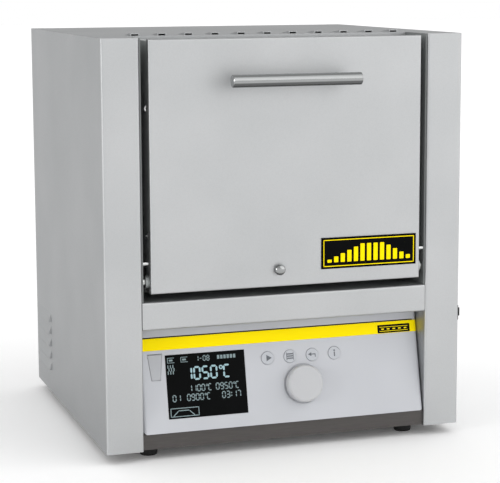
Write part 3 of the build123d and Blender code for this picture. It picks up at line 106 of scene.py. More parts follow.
def add(tree, kind, sockets, into=None, **settings):
    """Adds a node with its settings. Each socket, by name or number, gets a value, an output or a node.

    What the new node makes goes on into one more socket, if that is given.
    """
    node = tree.nodes.new("ShaderNode" + kind)
    for name, value in settings.items():
        setattr(node, name, value)
    for name, value in sockets.items():
        if isinstance(value, bpy.types.Node):
            value = first_output(value)
        if isinstance(value, bpy.types.NodeSocket):
            tree.links.new(value, node.inputs[name])
        else:
            node.inputs[name].default_value = value
    if into:
        tree.links.new(first_output(node), into)
    return node


# %% [markdown]
# Each finish starts from Blender's usual surface shader, and its patterns are laid out by the place of
# each point on the object, so their scales are real sizes.

# %% Starting a finish, and giving it to solid pieces
def start_finish(name, roughness=0.5, metallic=0):
    """A new material with its tree, its shader's sockets and the place of each point on the object."""
    material = bpy.data.materials.new(name)
    material.use_nodes = True
    tree = material.node_tree
    surface = tree.nodes["Principled BSDF"].inputs
    surface["Roughness"].default_value = roughness
    surface["Metallic"].default_value = metallic
    place = add(tree, "TexCoord", {}).outputs["Object"]
    return material, tree, surface, place


def set_finish(material, *nodes):
    """Gives a finish to solid pieces by name."""
    for name in nodes:
        mesh = frame["nodes"][name].data
        mesh.materials.clear()
        mesh.materials.append(material)
    print(material.name, "on", ", ".join(nodes))


# %% [markdown]
# ## Textured stainless steel
#
# The housing is folded from stainless steel sheet with a fine pattern rolled into it, like very small
# orange peel. It hides fingerprints and breaks the mirror, so the sheet looks pale, even and satin.
# Its real grain is about 0.5 mm, which the picture can't show, so it is drawn at 1.1 mm. A second,
# very broad noise shifts the tone a little, as rolled sheet does over a hand's width. At a flat angle
# the grain shades itself, so the tint for such angles is a mid grey.

# %% Textured stainless steel
textured_stainless, tree, surface, place = start_finish("textured stainless sheet", metallic=1)
grain = add(tree, "TexNoise", {"Vector": place, "Scale": 1 / (1.1 * MM), "Detail": 3})
cloud = add(tree, "TexNoise", {"Vector": place, "Scale": 1 / (90 * MM), "Detail": 2})
add(tree, "Mix", {
    "Factor": cloud, 6: linear("#B5B7B8"), 7: linear("#C3C4C5")}, surface["Base Color"], data_type="RGBA")
add(tree, "MapRange", {
    "Value": grain, "From Min": 0.3, "From Max": 0.7, "To Min": 0.40, "To Max": 0.54},
    surface["Roughness"])
add(tree, "Bump", {"Strength": 0.35, "Distance": 0.04 * MM, "Height": grain}, surface["Normal"])
surface["Specular Tint"].default_value = (0.5, 0.5, 0.5, 1)
set_finish(textured_stainless, "left_side_panel", "right_side_panel", "roof_panel", "rear_panel",
           "front_crossbar", "door_cover")

# %% [markdown]
# ## Finishes with one grain
#
# Many finishes have one grain, which changes the gloss, the height and mostly the tone too. One function
# makes them all from the grain's size. A grain that runs along the sheet is stretched by a scale below
# 1 along X, and a tone that changes slowly gets a second, broader noise.

# %% A finish with one grain
def grained(name, shade, light, grain, detail, roughness=0.5, gloss=None, relief=None, drift=None,
            along=1, metallic=0, specular=0.5, glow=0):
    """A finish between two colours, with a grain of so many millimetres.

    The gloss is two ends of roughness, the relief a strength and a depth in millimetres, and the drift
    the size and detail of the broader noise.
    """
    material, tree, surface, place = start_finish(name, roughness, metallic)
    drawn = add(tree, "Mapping", {"Vector": place, "Scale": (along, 1, 1)})
    noise = add(tree, "TexNoise", {"Vector": drawn, "Scale": 1 / (grain * MM), "Detail": detail})
    broad = noise
    if drift:
        broad = add(tree, "TexNoise", {"Vector": place, "Scale": 1 / (drift[0] * MM), "Detail": drift[1]})
    tone = add(tree, "Mix", {
        "Factor": broad, 6: linear(shade), 7: linear(light)}, surface["Base Color"], data_type="RGBA")
    if gloss:
        add(tree, "MapRange", {
            "Value": noise, "To Min": gloss[0], "To Max": gloss[1]}, surface["Roughness"])
    if relief:
        add(tree, "Bump", {
            "Strength": relief[0], "Distance": relief[1] * MM, "Height": noise}, surface["Normal"])
    # A glow is painted light: the tone shines as if lit more strongly.
    if glow:
        tree.links.new(first_output(tone), surface["Emission Color"])
        surface["Emission Strength"].default_value = glow
    surface["Specular IOR Level"].default_value = specular
    return material


# %% [markdown]
# ## Coated sheet round the door
#
# The surround that the door closes against is powder coated in mid grey, and the frame inside the
# door in light grey. Little light reaches the narrow gaps where they show, so both greys are set
# lighter as painted light in those gaps. Powder flows into a matt skin with a faint orange peel of
# about 2 mm.

# %% Powder coat in two greys
# Both greys are set lighter as painted light in the shaded gaps.
COATS = (("grey powder coat", "#6E7171", "#7A7D7D", "door_surround"),
         ("light grey powder coat", "#A0A3A3", "#ACAFAF", "door_frame"))
for name, shade, light, node in COATS:
    set_finish(grained(name, shade, light, 2, 2, roughness=0.55, relief=(0.4, 0.05)), node)

# %% [markdown]
# ## Zinc-plated steel inside
#
# The deck, the inner casing and the hinge arms are plain plated sheet. Zinc freezes in large crystals,
# the spangle, each with its own tone; here they are 9 mm across.

# %% Zinc-plated steel
zinc_sheet, tree, surface, place = start_finish("zinc plated sheet", metallic=0.9)
spangle = add(tree, "TexVoronoi", {"Vector": place, "Scale": 1 / (9 * MM)})
tint = add(tree, "SeparateColor", {"Color": spangle.outputs["Color"]})
add(tree, "Mix", {
    "Factor": tint.outputs["Red"], 6: linear("#989C9C"), 7: linear("#B1B4B3")},
    surface["Base Color"], data_type="RGBA")
add(tree, "MapRange", {
    "Value": tint.outputs["Green"], "To Min": 0.34, "To Max": 0.52}, surface["Roughness"])
set_finish(zinc_sheet, "chamber_deck", "inner_casing", "hinge_arms")

# %% [markdown]
# ## Base tray
#
# The tray's front flange is the dark strip under the control panel. It is the same steel as the
# housing but left as it comes from the mill, with rolling lines 0.8 mm wide. It lies in shade, and its
# dark brownish grey is painted shade for it.

# %% Mill steel of the tray, in painted shade
set_finish(grained("mill steel in painted shade", "#4C4948", "#5E5B59", 0.8, 3, gloss=(0.38, 0.56),
                   along=0.05, metallic=0.6), "base_tray")

# %% [markdown]
# ## Turned steel
#
# The pins, the stops, the shutter's spindle, the exhaust outlet and the screws are turned from round
# bar. The tool leaves fine rings round the bar, here 0.35 mm apart along it, which spread the highlight
# across the bar, and handling dulls it in patches of 6 mm. The USB socket's shell is bright steel too.
# The wave node makes 20 waves in every 2 pi units, so its scale is 2 pi / 20 over the spacing.

# %% Turned steel
turned_steel, tree, surface, place = start_finish("turned steel", metallic=1)
rings = add(tree, "TexWave", {
    "Vector": place, "Scale": tau / 20 / (0.35 * MM), "Distortion": 1, "Detail": 1},
    wave_type="BANDS", bands_direction="X")
worn = add(tree, "TexNoise", {"Vector": place, "Scale": 1 / (6 * MM), "Detail": 3})
add(tree, "Mix", {
    "Factor": worn, 6: linear("#C4C6C6"), 7: linear("#D6D7D6")}, surface["Base Color"], data_type="RGBA")
add(tree, "MapRange", {"Value": worn, "To Min": 0.16, "To Max": 0.28}, surface["Roughness"])
add(tree, "Bump", {
    "Strength": 0.15, "Distance": 0.01 * MM, "Height": rings.outputs["Fac"]}, surface["Normal"])
set_finish(turned_steel, "air_shutter", "hinge_pins", "door_stop_pins", "door_frame_screws",
           "rear_panel_screws", "exhaust_outlet", "usb_socket")

# %% [markdown]
# ## Brushed stainless sheet
#
# The plate on the door's inside holds the insulation. It is plain stainless sheet, brushed along its
# length by an abrasive belt. The belt's lines are 0.1 mm wide, drawn at 0.5 mm, and they make streaks of
# slightly different gloss.

# %% Brushed stainless sheet
set_finish(grained("brushed stainless sheet", "#A9ABAC", "#C2C3C3", 0.5, 3, gloss=(0.3, 0.48),
                   relief=(0.2, 0.02), along=0.03, metallic=1), "door_back_plate")

# %% [markdown]
# ## Polished steel
#
# The handle, its posts and the air knob are polished after turning. The rings are gone and the bar
# mirrors the room in narrow bands along its length. What is left are soft wipe marks, 10 mm long.
# The lower third of such a bar mirrors the dark bench that it hangs over, and the upper third the
# dim room above the lamps. This white studio has neither, so these reflections are painted: faces
# that point down are painted dark grey, and faces that point up mid grey, by the way they face.

# %% Polished steel, with painted reflections up and down
polished_steel, tree, surface, place = start_finish("polished steel", metallic=1)
wiped = add(tree, "Mapping", {"Vector": place, "Scale": (0.2, 1.0, 1.0)})
marks = add(tree, "TexNoise", {"Vector": wiped, "Scale": 1 / (2 * MM), "Detail": 3})
tone = add(tree, "Mix", {"Factor": marks, 6: linear("#989A9A"), 7: linear("#A6A7A7")}, data_type="RGBA")
facing = add(tree, "NewGeometry", {}).outputs["Normal"]
upward = add(tree, "SeparateXYZ", {"Vector": facing})
# Painted reflection: faces that point up get the mid grey of a dim ceiling.
facing_up = add(tree, "MapRange", {"Value": upward.outputs["Z"], "From Min": 0.42, "From Max": 0.54})
with_painted_ceiling = add(tree, "Mix", {"Factor": facing_up, 6: tone, 7: linear("#8E9090")}, data_type="RGBA")
# Painted reflection: faces that point down get the dark grey of a bench.
not_facing_down = add(tree, "MapRange", {"Value": upward.outputs["Z"], "From Min": -0.38, "From Max": -0.24})
add(tree, "Mix", {"Factor": not_facing_down, 6: linear("#646565"), 7: with_painted_ceiling}, surface["Base Color"], data_type="RGBA")
add(tree, "MapRange", {"Value": marks, "To Min": 0.05, "To Max": 0.13}, surface["Roughness"])
set_finish(polished_steel, "handle_bar", "handle_posts", "air_knob")

# %% [markdown]
# ## Fibre insulation
#
# The blocks round the chamber and the plug on the door are vacuum formed from mineral wool. Cut faces
# are chalk white with a warmth that drifts over 45 mm, short fibres of 1.5 mm and shallow pits of 6 mm.

# %% Fibre insulation
fibre_board, tree, surface, place = start_finish("vacuum formed fibre board", roughness=0.95)
fibres = add(tree, "TexNoise", {"Vector": place, "Scale": 1 / (1.5 * MM), "Detail": 5})
pits = add(tree, "TexVoronoi", {"Vector": place, "Scale": 1 / (6 * MM)})
warmth = add(tree, "TexNoise", {"Vector": place, "Scale": 1 / (45 * MM), "Detail": 2})
add(tree, "Mix", {
    "Factor": warmth, 6: linear("#EDEAE2"), 7: linear("#E3DCCD")}, surface["Base Color"], data_type="RGBA")
height = add(tree, "Math", {0: pits, 1: 0.6, 2: fibres}, operation="MULTIPLY_ADD")
add(tree, "Bump", {"Strength": 0.5, "Distance": 0.35 * MM, "Height": height}, surface["Normal"])
set_finish(fibre_board, "insulation_floor", "insulation_roof", "insulation_sides", "insulation_rear",
           "insulation_collar", "door_insulation", "door_plug")

# %% [markdown]
# ## Door seal
#
# The seal is a flat strip woven from the same fibre. The weave is a checker of raised threads, 1.6 mm
# apart, one bump over and one under, with a fuzz of 0.9 mm on it.

# %% Woven seal
woven_seal, tree, surface, place = start_finish("woven fibre strip", roughness=0.9)
weave = add(tree, "TexChecker", {"Vector": place, "Scale": 1 / (1.6 * MM)})
fuzz = add(tree, "TexNoise", {"Vector": place, "Scale": 1 / (0.9 * MM), "Detail": 3})
add(tree, "Mix", {
    "Factor": fuzz, 6: linear("#CFC8B8"), 7: linear("#E0DBCF")}, surface["Base Color"], data_type="RGBA")
height = add(tree, "Math", {0: weave.outputs["Fac"], 1: fuzz}, operation="ADD")
add(tree, "Bump", {"Strength": 0.6, "Distance": 0.3 * MM, "Height": height}, surface["Normal"])
set_finish(woven_seal, "door_seal")

# %% [markdown]
# ## Heating plates
#
# The plates are cast from a refractory with the heating wire buried in them. Casting leaves a face of
# 0.9 mm sand, and the wire shows as faint ribs 8 mm apart that are slightly browner.

# %% Cast refractory
refractory, tree, surface, place = start_finish("cast refractory", roughness=0.9)
sand = add(tree, "TexNoise", {"Vector": place, "Scale": 1 / (0.9 * MM), "Detail": 4})
ribs = add(tree, "TexWave", {
    "Vector": place, "Scale": tau / 20 / (8 * MM), "Distortion": 0.4, "Detail": 1},
    wave_type="BANDS", bands_direction="Y")
add(tree, "Mix", {
    "Factor": ribs.outputs["Fac"], 6: linear("#BFAF98"), 7: linear("#D6CAB5")},
    surface["Base Color"], data_type="RGBA")
height = add(tree, "Math", {0: ribs.outputs["Fac"], 1: 1.5, 2: sand}, operation="MULTIPLY_ADD")
add(tree, "Bump", {"Strength": 0.6, "Distance": 0.3 * MM, "Height": height}, surface["Normal"])
set_finish(refractory, "heating_plate_left", "heating_plate_right")

# %% [markdown]
# ## Chamber floor
#
# The floor tile is pressed and fired. It is denser and greyer than the fibre, with a grit of 1.2 mm and
# dark iron specks about 1.5 mm across, scattered 7 mm apart.

# %% Fired floor tile
fired_tile, tree, surface, place = start_finish("pressed and fired tile", roughness=0.75)
grit = add(tree, "TexNoise", {"Vector": place, "Scale": 1 / (1.2 * MM), "Detail": 3})
iron = add(tree, "TexVoronoi", {"Vector": place, "Scale": 1 / (7 * MM)})
speck = add(tree, "MapRange", {"Value": iron, "From Min": 0.08, "From Max": 0.14})
clay = add(tree, "Mix", {"Factor": grit, 6: linear("#C9BBA4"), 7: linear("#DACFBC")}, data_type="RGBA")
add(tree, "Mix", {"Factor": speck, 6: linear("#8A7560"), 7: clay}, surface["Base Color"], data_type="RGBA")
add(tree, "Bump", {"Strength": 0.4, "Distance": 0.1 * MM, "Height": grit}, surface["Normal"])
set_finish(fired_tile, "chamber_floor_tile")

# %% [markdown]
# ## Technical ceramic
#
# The exhaust tube, the air inlet tube, the terminal blocks and the thermocouple's sheath are fired
# alumina: ivory, dense and faintly glossy, with specks of 0.6 mm.

# %% Fired alumina
set_finish(grained("fired alumina", "#E6DCC4", "#F0E9D8", 0.6, 2, gloss=(0.35, 0.5)),
           "exhaust_tube", "air_inlet_tube", "thermocouple", "terminal_blocks")

# %% [markdown]
# ## Heater leads
#
# The ends of the heating wire are left bare. The alloy oxidises to a brown grey skin that is patchy
# every 4 mm or so.

# %% Oxidised heating alloy
set_finish(grained("oxidised heating alloy", "#6E665C", "#A39A8C", 4, 3, gloss=(0.35, 0.6),
                   metallic=0.9), "heater_leads")

# %% [markdown]
# ## Black moulded plastic
#
# The switch, the mains inlet, the fuse holders, the dial's sleeve and the plain parts behind the panel
# are black polyamide from a mould with a spark-eroded face, which leaves a fine matt grain, drawn at
# 0.5 mm.

# %% Black moulded plastic
set_finish(grained("black moulded polyamide", "#161718", "#222324", 0.5, 2, roughness=0.45,
                   relief=(0.3, 0.03)),
           "power_rocker", "power_switch_body", "mains_inlet", "fuse_holders", "dial_push_sleeve",
           "encoder_body", "key_switches", "solid_state_relay")

# %% [markdown]
# ## Rubber feet
#
# The feet are moulded rubber, matt, with a dusty grey bloom in patches of 3 mm.

# %% Rubber
foot_rubber = grained("moulded rubber", "#151515", "#272727", 3, 4, gloss=(0.65, 0.9))
set_finish(foot_rubber, "feet")

# %% [markdown]
# ## Control panel, keys and dial
#
# The panel is moulded from pale grey ABS with a cool tint. The tool's spark-eroded face gives it a
# fine satin grain of 0.4 mm, drawn at 0.7 mm. The keys are the same plastic a shade darker, the dial
# is smoother, because hands polish it, and the flap over the socket is softer, duller and darker. The
# tone drifts slowly, over 60 mm, as in any large moulding.

# %% Pale grey ABS and the soft flap
KEYS = ("start", "menu", "back", "info")
MOULDED = (("pale grey ABS panel", "#C0C2C7", "#C9CBD0", 0.42, ["control_panel_housing"]),
           ("pale grey ABS key", "#BABDC3", "#C1C4C9", 0.38, [f"key_{key}" for key in KEYS]),
           ("grey soft flap", "#B3B5B9", "#BDBFC3", 0.6, ["usb_flap"]),
           ("pale grey ABS dial", "#BBBCBF", "#C3C4C6", 0.3, ["jog_dial"]))
for name, shade, light, roughness, nodes in MOULDED:
    set_finish(grained(name, shade, light, 0.7, 2, roughness, relief=(0.2, 0.03), drift=(60, 1)), *nodes)

# %% [markdown]
# ## Yellow stripe
#
# The stripe is a strip of printed film laid into its recess. Yellow ink over a clear face is even and
# half glossy; the print's dots are far too fine to see, so only a slight unevenness of 14 mm is drawn.
# A faint glow is added to the yellow as painted light, which brightens it.

# %% Printed yellow film
# Its glow is painted light, and so are the yellow prints made from it.
yellow_film = grained("printed yellow film", "#FFE200", "#FFE800", 14, 2, gloss=(0.28, 0.4),
                      specular=0.06, glow=0.14)
set_finish(yellow_film, "accent_stripe")

# %% [markdown]
# ## Display window and name plate
#
# Both are smooth black faces, and so is the module behind the window: the window is clear acrylic
# printed black behind, the plate is printed aluminium under a clear film. They are coated against
# glare, so they mirror little and stay black. Faint smears of 20 mm keep them from looking like holes.

# %% Gloss black
gloss_black = grained("black printed acrylic", "#020303", "#070809", 20, 4, gloss=(0.14, 0.3),
                      specular=0.05)
set_finish(gloss_black, "display_window", "name_plate", "display_module")

# %% [markdown]
# ## Circuit board
#
# The board behind the panel is glass fibre under green solder mask. The glass cloth's threads show
# through the mask as a faint checker of 1 mm.

# %% Solder mask
solder_mask, tree, surface, place = start_finish("green solder mask", roughness=0.3)
cloth = add(tree, "TexChecker", {"Vector": place, "Scale": 1 / (1.0 * MM)})
add(tree, "Mix", {
    "Factor": cloth.outputs["Fac"], 6: linear("#1E5A38"), 7: linear("#246642")},
    surface["Base Color"], data_type="RGBA")
set_finish(solder_mask, "control_board")

# %% [markdown]
# ## Making new pieces
#
# The rest of the file adds what the solid model leaves out. A piece is started from a primitive,
# shaped in edit mode, and then settled: its place is written into its mesh, as for the solid pieces,
# it gets its finish and it is told which moving part it rides on. A new primitive comes selected, alone,
# so an operator can follow it at once.

# %% Choosing and joining pieces
def only(piece):
    """Selects one piece and nothing else, so that the next operator acts on it alone."""
    bpy.ops.object.select_all(action="DESELECT")
    piece.select_set(True)
    bpy.context.view_layer.objects.active = piece


def joined(pieces):
    """Several pieces as one, with its place in its mesh."""
    only(pieces[0])
    for piece in pieces[1:]:
        piece.select_set(True)
    if len(pieces) > 1:
        bpy.ops.object.join()
    bpy.ops.object.transform_apply()
    return bpy.context.object


# %% Settling a piece
def settle(piece, name, body, finish):
    """Writes the piece's place into its mesh, and gives it its name, finish and body."""
    only(piece)
    bpy.ops.object.transform_apply()
    piece.name = name
    piece.data.materials.clear()
    piece.data.materials.append(finish)
    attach(piece, body)
    print(name, "has", len(piece.data.polygons), "faces")
    return piece


# %% [markdown]
# ## Flat printed shapes
#
# Signs, bars and digits are thin printed or lit shapes. Each starts as a flat polygon lying on the
# ground plane, is thickened by one extrusion, and is later turned to the face that it belongs on.
# A bar gets its corners cut by a bevel first, because printed corners are never knife sharp.

# %% Thickness
def thickened(piece, thickness):
    """Extrudes a flat shape upwards."""
    only(piece)
    bpy.ops.object.mode_set(mode="EDIT")
    bpy.ops.mesh.select_all(action="SELECT")
    bpy.ops.mesh.extrude_region_move(TRANSFORM_OT_translate={"value": (0, 0, thickness * MM)})
    bpy.ops.mesh.select_all(action="SELECT")
    bpy.ops.mesh.normals_make_consistent(inside=False)
    bpy.ops.object.mode_set(mode="OBJECT")
    return piece


# %% A flat bar
def flat_bar(left, low, width, height, thickness, corner=0.15):
    """A thin bar with cut corners, lying at a place in millimetres."""
    middle = Vector((left + width / 2, low + height / 2, 0)) * MM
    bpy.ops.mesh.primitive_plane_add(size=1, location=middle)
    bar = bpy.context.object
    bar.scale = (width * MM, height * MM, 1)
    bpy.ops.object.transform_apply()
    bpy.ops.object.mode_set(mode="EDIT")
    bpy.ops.mesh.select_all(action="SELECT")
    bpy.ops.mesh.bevel(offset=corner * MM, affect="VERTICES", segments=2)
    bpy.ops.object.mode_set(mode="OBJECT")
    return thickened(bar, thickness)


# %% A flat polygon and a flat ring
def flat_polygon(middle_x, middle_y, radius, corners, thickness, turn=0.0):
    """A thin regular polygon, lying at a place in millimetres."""
    middle = Vector((middle_x, middle_y, 0)) * MM
    bpy.ops.mesh.primitive_circle_add(vertices=corners, radius=radius * MM, fill_type="NGON",
                                      location=middle, rotation=(0, 0, turn))
    bpy.ops.object.transform_apply()
    return thickened(bpy.context.object, thickness)


def flat_ring(middle_x, middle_y, radius, width, thickness):
    """A thin ring: a disc is inset and its middle is taken out before it is thickened."""
    middle = Vector((middle_x, middle_y, 0)) * MM
    bpy.ops.mesh.primitive_circle_add(vertices=20, radius=radius * MM, fill_type="NGON", location=middle)
    bpy.ops.object.mode_set(mode="EDIT")
    bpy.ops.mesh.inset(thickness=width * MM)
    bpy.ops.mesh.delete(type="FACE")
    bpy.ops.object.mode_set(mode="OBJECT")
    bpy.ops.object.transform_apply()
    return thickened(bpy.context.object, thickness)


# %% [markdown]
# ## Places on the sloping panel
#
# The control panel leans back by almost 13 degrees, and the dial turns about a line straight out of it.
# A place on the panel is told by how far it is from the furnace's middle, how far up the slope and how
# far out of the face. The edges of a solid piece there are read from its outermost corners.

# %% Where the panel is
def span(node):
    """Lowest and highest corner of a solid piece, in millimetres."""
    low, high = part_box(node)
    return low / MM, high / MM


joints = {joint["name"]: joint for joint in frame["joints"]}
OUT_OF_PANEL = Vector(joints["dial_turn"]["axis"]).normalized()
UP_SLOPE = Vector((0, OUT_OF_PANEL.z, -OUT_OF_PANEL.y))
PANEL_TURN = (atan2(-OUT_OF_PANEL.y, OUT_OF_PANEL.z), 0, 0)
panel_low = span("control_panel_housing")[0]
PANEL_FOOT = Vector((0, panel_low.y, panel_low.z))
SINK = 0.01


# %% Reading a face on the panel, and laying a piece on it
def face_on_panel(node):
    """Left, right, low and high edge of a solid piece's outermost face, and how far out it is."""
    corners = [vertex.co / MM - PANEL_FOOT for vertex in frame["nodes"][node].data.vertices]
    out = max(corner.dot(OUT_OF_PANEL) for corner in corners)
    face = [corner for corner in corners if corner.dot(OUT_OF_PANEL) > out - SINK]
    across = [corner.x for corner in face]
    up = [corner.dot(UP_SLOPE) for corner in face]
    return min(across), max(across), min(up), max(up), out


def set_on_panel(piece, across, up, out):
    """Lays a flat piece on the panel, sunk in by a hair, its zero point at a place in millimetres."""
    place = PANEL_FOOT + Vector((across, 0, 0)) + UP_SLOPE * up + OUT_OF_PANEL * (out - SINK)
    piece.location = place * MM
    piece.rotation_euler = PANEL_TURN
    return piece


window_left, window_right, window_low, window_top, window_out = face_on_panel("display_window")
print("display in mm:", round(window_right - window_left, 1), "by", round(window_top - window_low, 1))

# %% [markdown]
# ## Digits of the display
#
# The display is a liquid crystal panel, whose digits are built from seven bars with pointed ends. One
# bar is a hexagon stretched along its length. The bars' places are shares of a digit's width, from its
# middle, and of its height; gaps, rings and dots are multiples of a bar's width. The readout's shapes
# are 0.06 mm thick.

# %% The seven bars and what they draw
READOUT = 0.06
DIGIT_WIDTH = 0.5
BAR_GAP, RING_RADIUS, RING_LINE, DOT_RADIUS = 0.35, 1.15, 0.6, 0.7
RING_STEP, COLON_STEP, DIGIT_GAP = 2.6, 2.4, 1.5
BARS = {
    "A": (0, 1, True), "B": (0.5, 0.75, False), "C": (0.5, 0.25, False), "D": (0, 0, True),
    "E": (-0.5, 0.25, False), "F": (-0.5, 0.75, False), "G": (0, 0.5, True),
}
LIT = {
    "0": "ABCDEF", "1": "BC", "2": "ABGED", "3": "ABGCD", "4": "FGBC", "5": "AFGCD",
    "6": "AFGECD", "7": "ABC", "8": "ABCDEFG", "9": "ABCDFG", "C": "AFED", "-": "G",
}

# %% One display bar
def pick_corners(piece, wanted):
    """In edit mode, selects the corners of a piece for which wanted is true."""
    bpy.ops.mesh.select_mode(type="VERT")
    bpy.ops.mesh.select_all(action="DESELECT")
    mesh = bmesh.from_edit_mesh(piece.data)
    for corner in mesh.verts:
        corner.select_set(wanted(corner.co))
    mesh.select_flush_mode()
    bmesh.update_edit_mesh(piece.data)


def display_bar(length, width):
    """A flat pointed bar of the display, upright, about its own middle."""
    bpy.ops.mesh.primitive_circle_add(vertices=6, radius=length / 2 * MM, fill_type="NGON")
    bar = bpy.context.object
    bpy.ops.object.mode_set(mode="EDIT")
    pick_corners(bar, lambda place: abs(place.x) > 0.1 * length * MM)
    shoulder = (length - width) / (length / 2)
    bpy.ops.transform.resize(value=(width / (length * cos(pi / 6)), shoulder, 1))
    bpy.ops.object.mode_set(mode="OBJECT")
    return thickened(bar, READOUT)


# %% Copies
def copy_at(piece, place, turn=(0, 0, 0)):
    """A copy with its own mesh, at a place in millimetres."""
    copy = piece.copy()
    copy.data = piece.data.copy()
    bpy.context.collection.objects.link(copy)
    copy.location = Vector(place) * MM
    copy.rotation_euler = turn
    return copy


# %% Numbers made of bars
def number(text, left, low, height, stroke):
    """The lit bars of a number, from its lower left corner, in millimetres. An o is a degree sign."""
    wide = height * DIGIT_WIDTH
    upright = display_bar(height / 2 - stroke * BAR_GAP, stroke)
    level = display_bar(wide - stroke * BAR_GAP, stroke)
    pieces = []
    pen = left
    for sign in text:
        if sign == "o":
            pieces.append(flat_ring(pen + stroke, low + height - stroke, stroke * RING_RADIUS,
                                    stroke * RING_LINE, READOUT))
            pen += stroke * RING_STEP
        elif sign == ":":
            for share in (0.28, 0.72):
                pieces.append(flat_polygon(pen + stroke / 2, low + height * share,
                                           stroke * DOT_RADIUS, 8, READOUT))
            pen += stroke * COLON_STEP
        else:
            for name in LIT[sign]:
                across, up, lying = BARS[name]
                place = (pen + wide * (0.5 + across), low + height * up, 0)
                turn = (0, 0, pi / 2) if lying else (0, 0, 0)
                pieces.append(copy_at(level if lying else upright, place, turn))
            pen += wide + stroke * DIGIT_GAP
    for pattern in (upright, level):
        bpy.data.objects.remove(pattern)
    return pieces


# %% [markdown]
# ## What the display shows
#
# A large reading in the middle, two smaller rows below it, and small marks along the upper and lower
# edge. The numbers are plain temperatures and times. Lit crystal is pale cyan and glows a little; the
# small rows are weaker. Its dots are 0.35 mm, drawn as a faint checker of 0.7 mm.

# %% Lit crystal in two strengths
def lit_crystal(name, dark, light, glow):
    """Pale cyan light with the display's fine dots."""
    material, tree, surface, place = start_finish(name, roughness=0.4)
    dots = add(tree, "TexChecker", {"Vector": place, "Scale": 1 / (0.7 * MM)})
    tone = add(tree, "Mix", {
        "Factor": dots.outputs["Fac"], 6: linear(dark), 7: linear(light)},
        surface["Base Color"], data_type="RGBA")
    tree.links.new(tone.outputs[2], surface["Emission Color"])
    surface["Emission Strength"].default_value = glow
    return material


bright_crystal = lit_crystal("lit display crystal", "#84A2A9", "#9CBAC1", 0.22)
faint_crystal = lit_crystal("faint display crystal", "#66777A", "#839598", 0.2)


# %% The large reading and the smaller rows
def show(name, pieces, finish):
    """Joins lit shapes and lays them on the display. Their zero point is its upper left corner."""
    lit = set_on_panel(joined(pieces), window_left, window_top, window_out)
    settle(lit, name, "furnace", finish)


reading = number("1050oC", left=20.5, low=-26.0, height=12.0, stroke=1.9)
show("display_reading", reading, bright_crystal)

ROW_HEIGHT, ROW_STROKE = 6.2, 1.0
ROWS = (("1100oC", 22.5, -38.0), ("0950oC", 51.5, -38.0),
        ("01", 5.5, -47.0), ("0900oC", 20.5, -47.0), ("03:17", 57.5, -47.0))
rows = []
for text, left, low in ROWS:
    rows += number(text, left, low, ROW_HEIGHT, ROW_STROKE)
show("display_rows", rows, faint_crystal)

# %% [markdown]
# The marks along the edges are two boxes, open to the right, for the program and its segment, a bar of
# blocks for how far it has run, a heating sign of three upright waves, and a framed firing curve.

# %% A row of bars and an outline
def bar_row(count, pitch, left, low, width, height, thickness):
    """Equal bars in a row, from the lower left corner of the first."""
    return [flat_bar(left + pitch * index, low, width, height, thickness) for index in range(count)]


def outline(left, low, width, height, line, thickness):
    """Four bars round a rectangle, whose lines are so wide."""
    right, top = left + width - line, low + height - line
    return [flat_bar(left, low, width, line, thickness), flat_bar(left, top, width, line, thickness),
            flat_bar(left, low, line, height, thickness), flat_bar(right, low, line, height, thickness)]


# %% Marks along the display's upper edge
BOX_LOW, BOX_WIDTH, BOX_HEIGHT, BOX_LINE, BOX_INSET = -8.2, 7.4, 5.4, 0.6, 1.8
marks = []
for left in (2.0, 16.0):
    for low in (BOX_LOW, BOX_LOW + BOX_HEIGHT - BOX_LINE):
        marks.append(flat_bar(left, low, BOX_WIDTH, BOX_LINE, READOUT))
    marks.append(flat_bar(left, BOX_LOW, BOX_LINE, BOX_HEIGHT, READOUT))
    marks.append(flat_bar(left + BOX_INSET, BOX_LOW + BOX_INSET, BOX_WIDTH - 2 * BOX_INSET,
                          BOX_HEIGHT - 2 * BOX_INSET, READOUT))
marks += bar_row(6, pitch=3.4, left=54.5, low=-7.4, width=2.4, height=3.8, thickness=READOUT)
marks += number("1-08", left=32.0, low=-8.0, height=5.0, stroke=0.9)
for step, sway in enumerate((-0.5, 0.5, -0.5)):
    marks += bar_row(3, pitch=2.6, left=2.4 + sway, low=3.1 * step - 19.5, width=1.0, height=3.2,
                     thickness=READOUT)

# %% The firing curve in its frame
CURVE_LINE, RAMP_LENGTH, RAMP_LOW, RAMP_LEAN = 0.9, 7.2, -59.2, 0.75
marks += outline(left=2.0, low=-62.5, width=30.0, height=9.0, line=0.8, thickness=READOUT)
marks.append(flat_bar(left=10.5, low=-56.8, width=11.0, height=CURVE_LINE, thickness=READOUT))
for middle, lean in ((7.5, RAMP_LEAN), (24.5, -RAMP_LEAN)):
    ramp = flat_bar(-RAMP_LENGTH / 2, -CURVE_LINE / 2, RAMP_LENGTH, CURVE_LINE, READOUT)
    ramp.location = Vector((middle, RAMP_LOW, 0)) * MM
    ramp.rotation_euler = (0, 0, lean)
    marks.append(ramp)
show("display_marks", marks, faint_crystal)

# %% [markdown]
# ## Signs on the keys
#
# Four round keys carry printed signs: start, a list, back and information. They are grey ink, 0.05 mm
# thick, so they need only a clean outline. The ink covers unevenly, in specks of 0.8 mm.

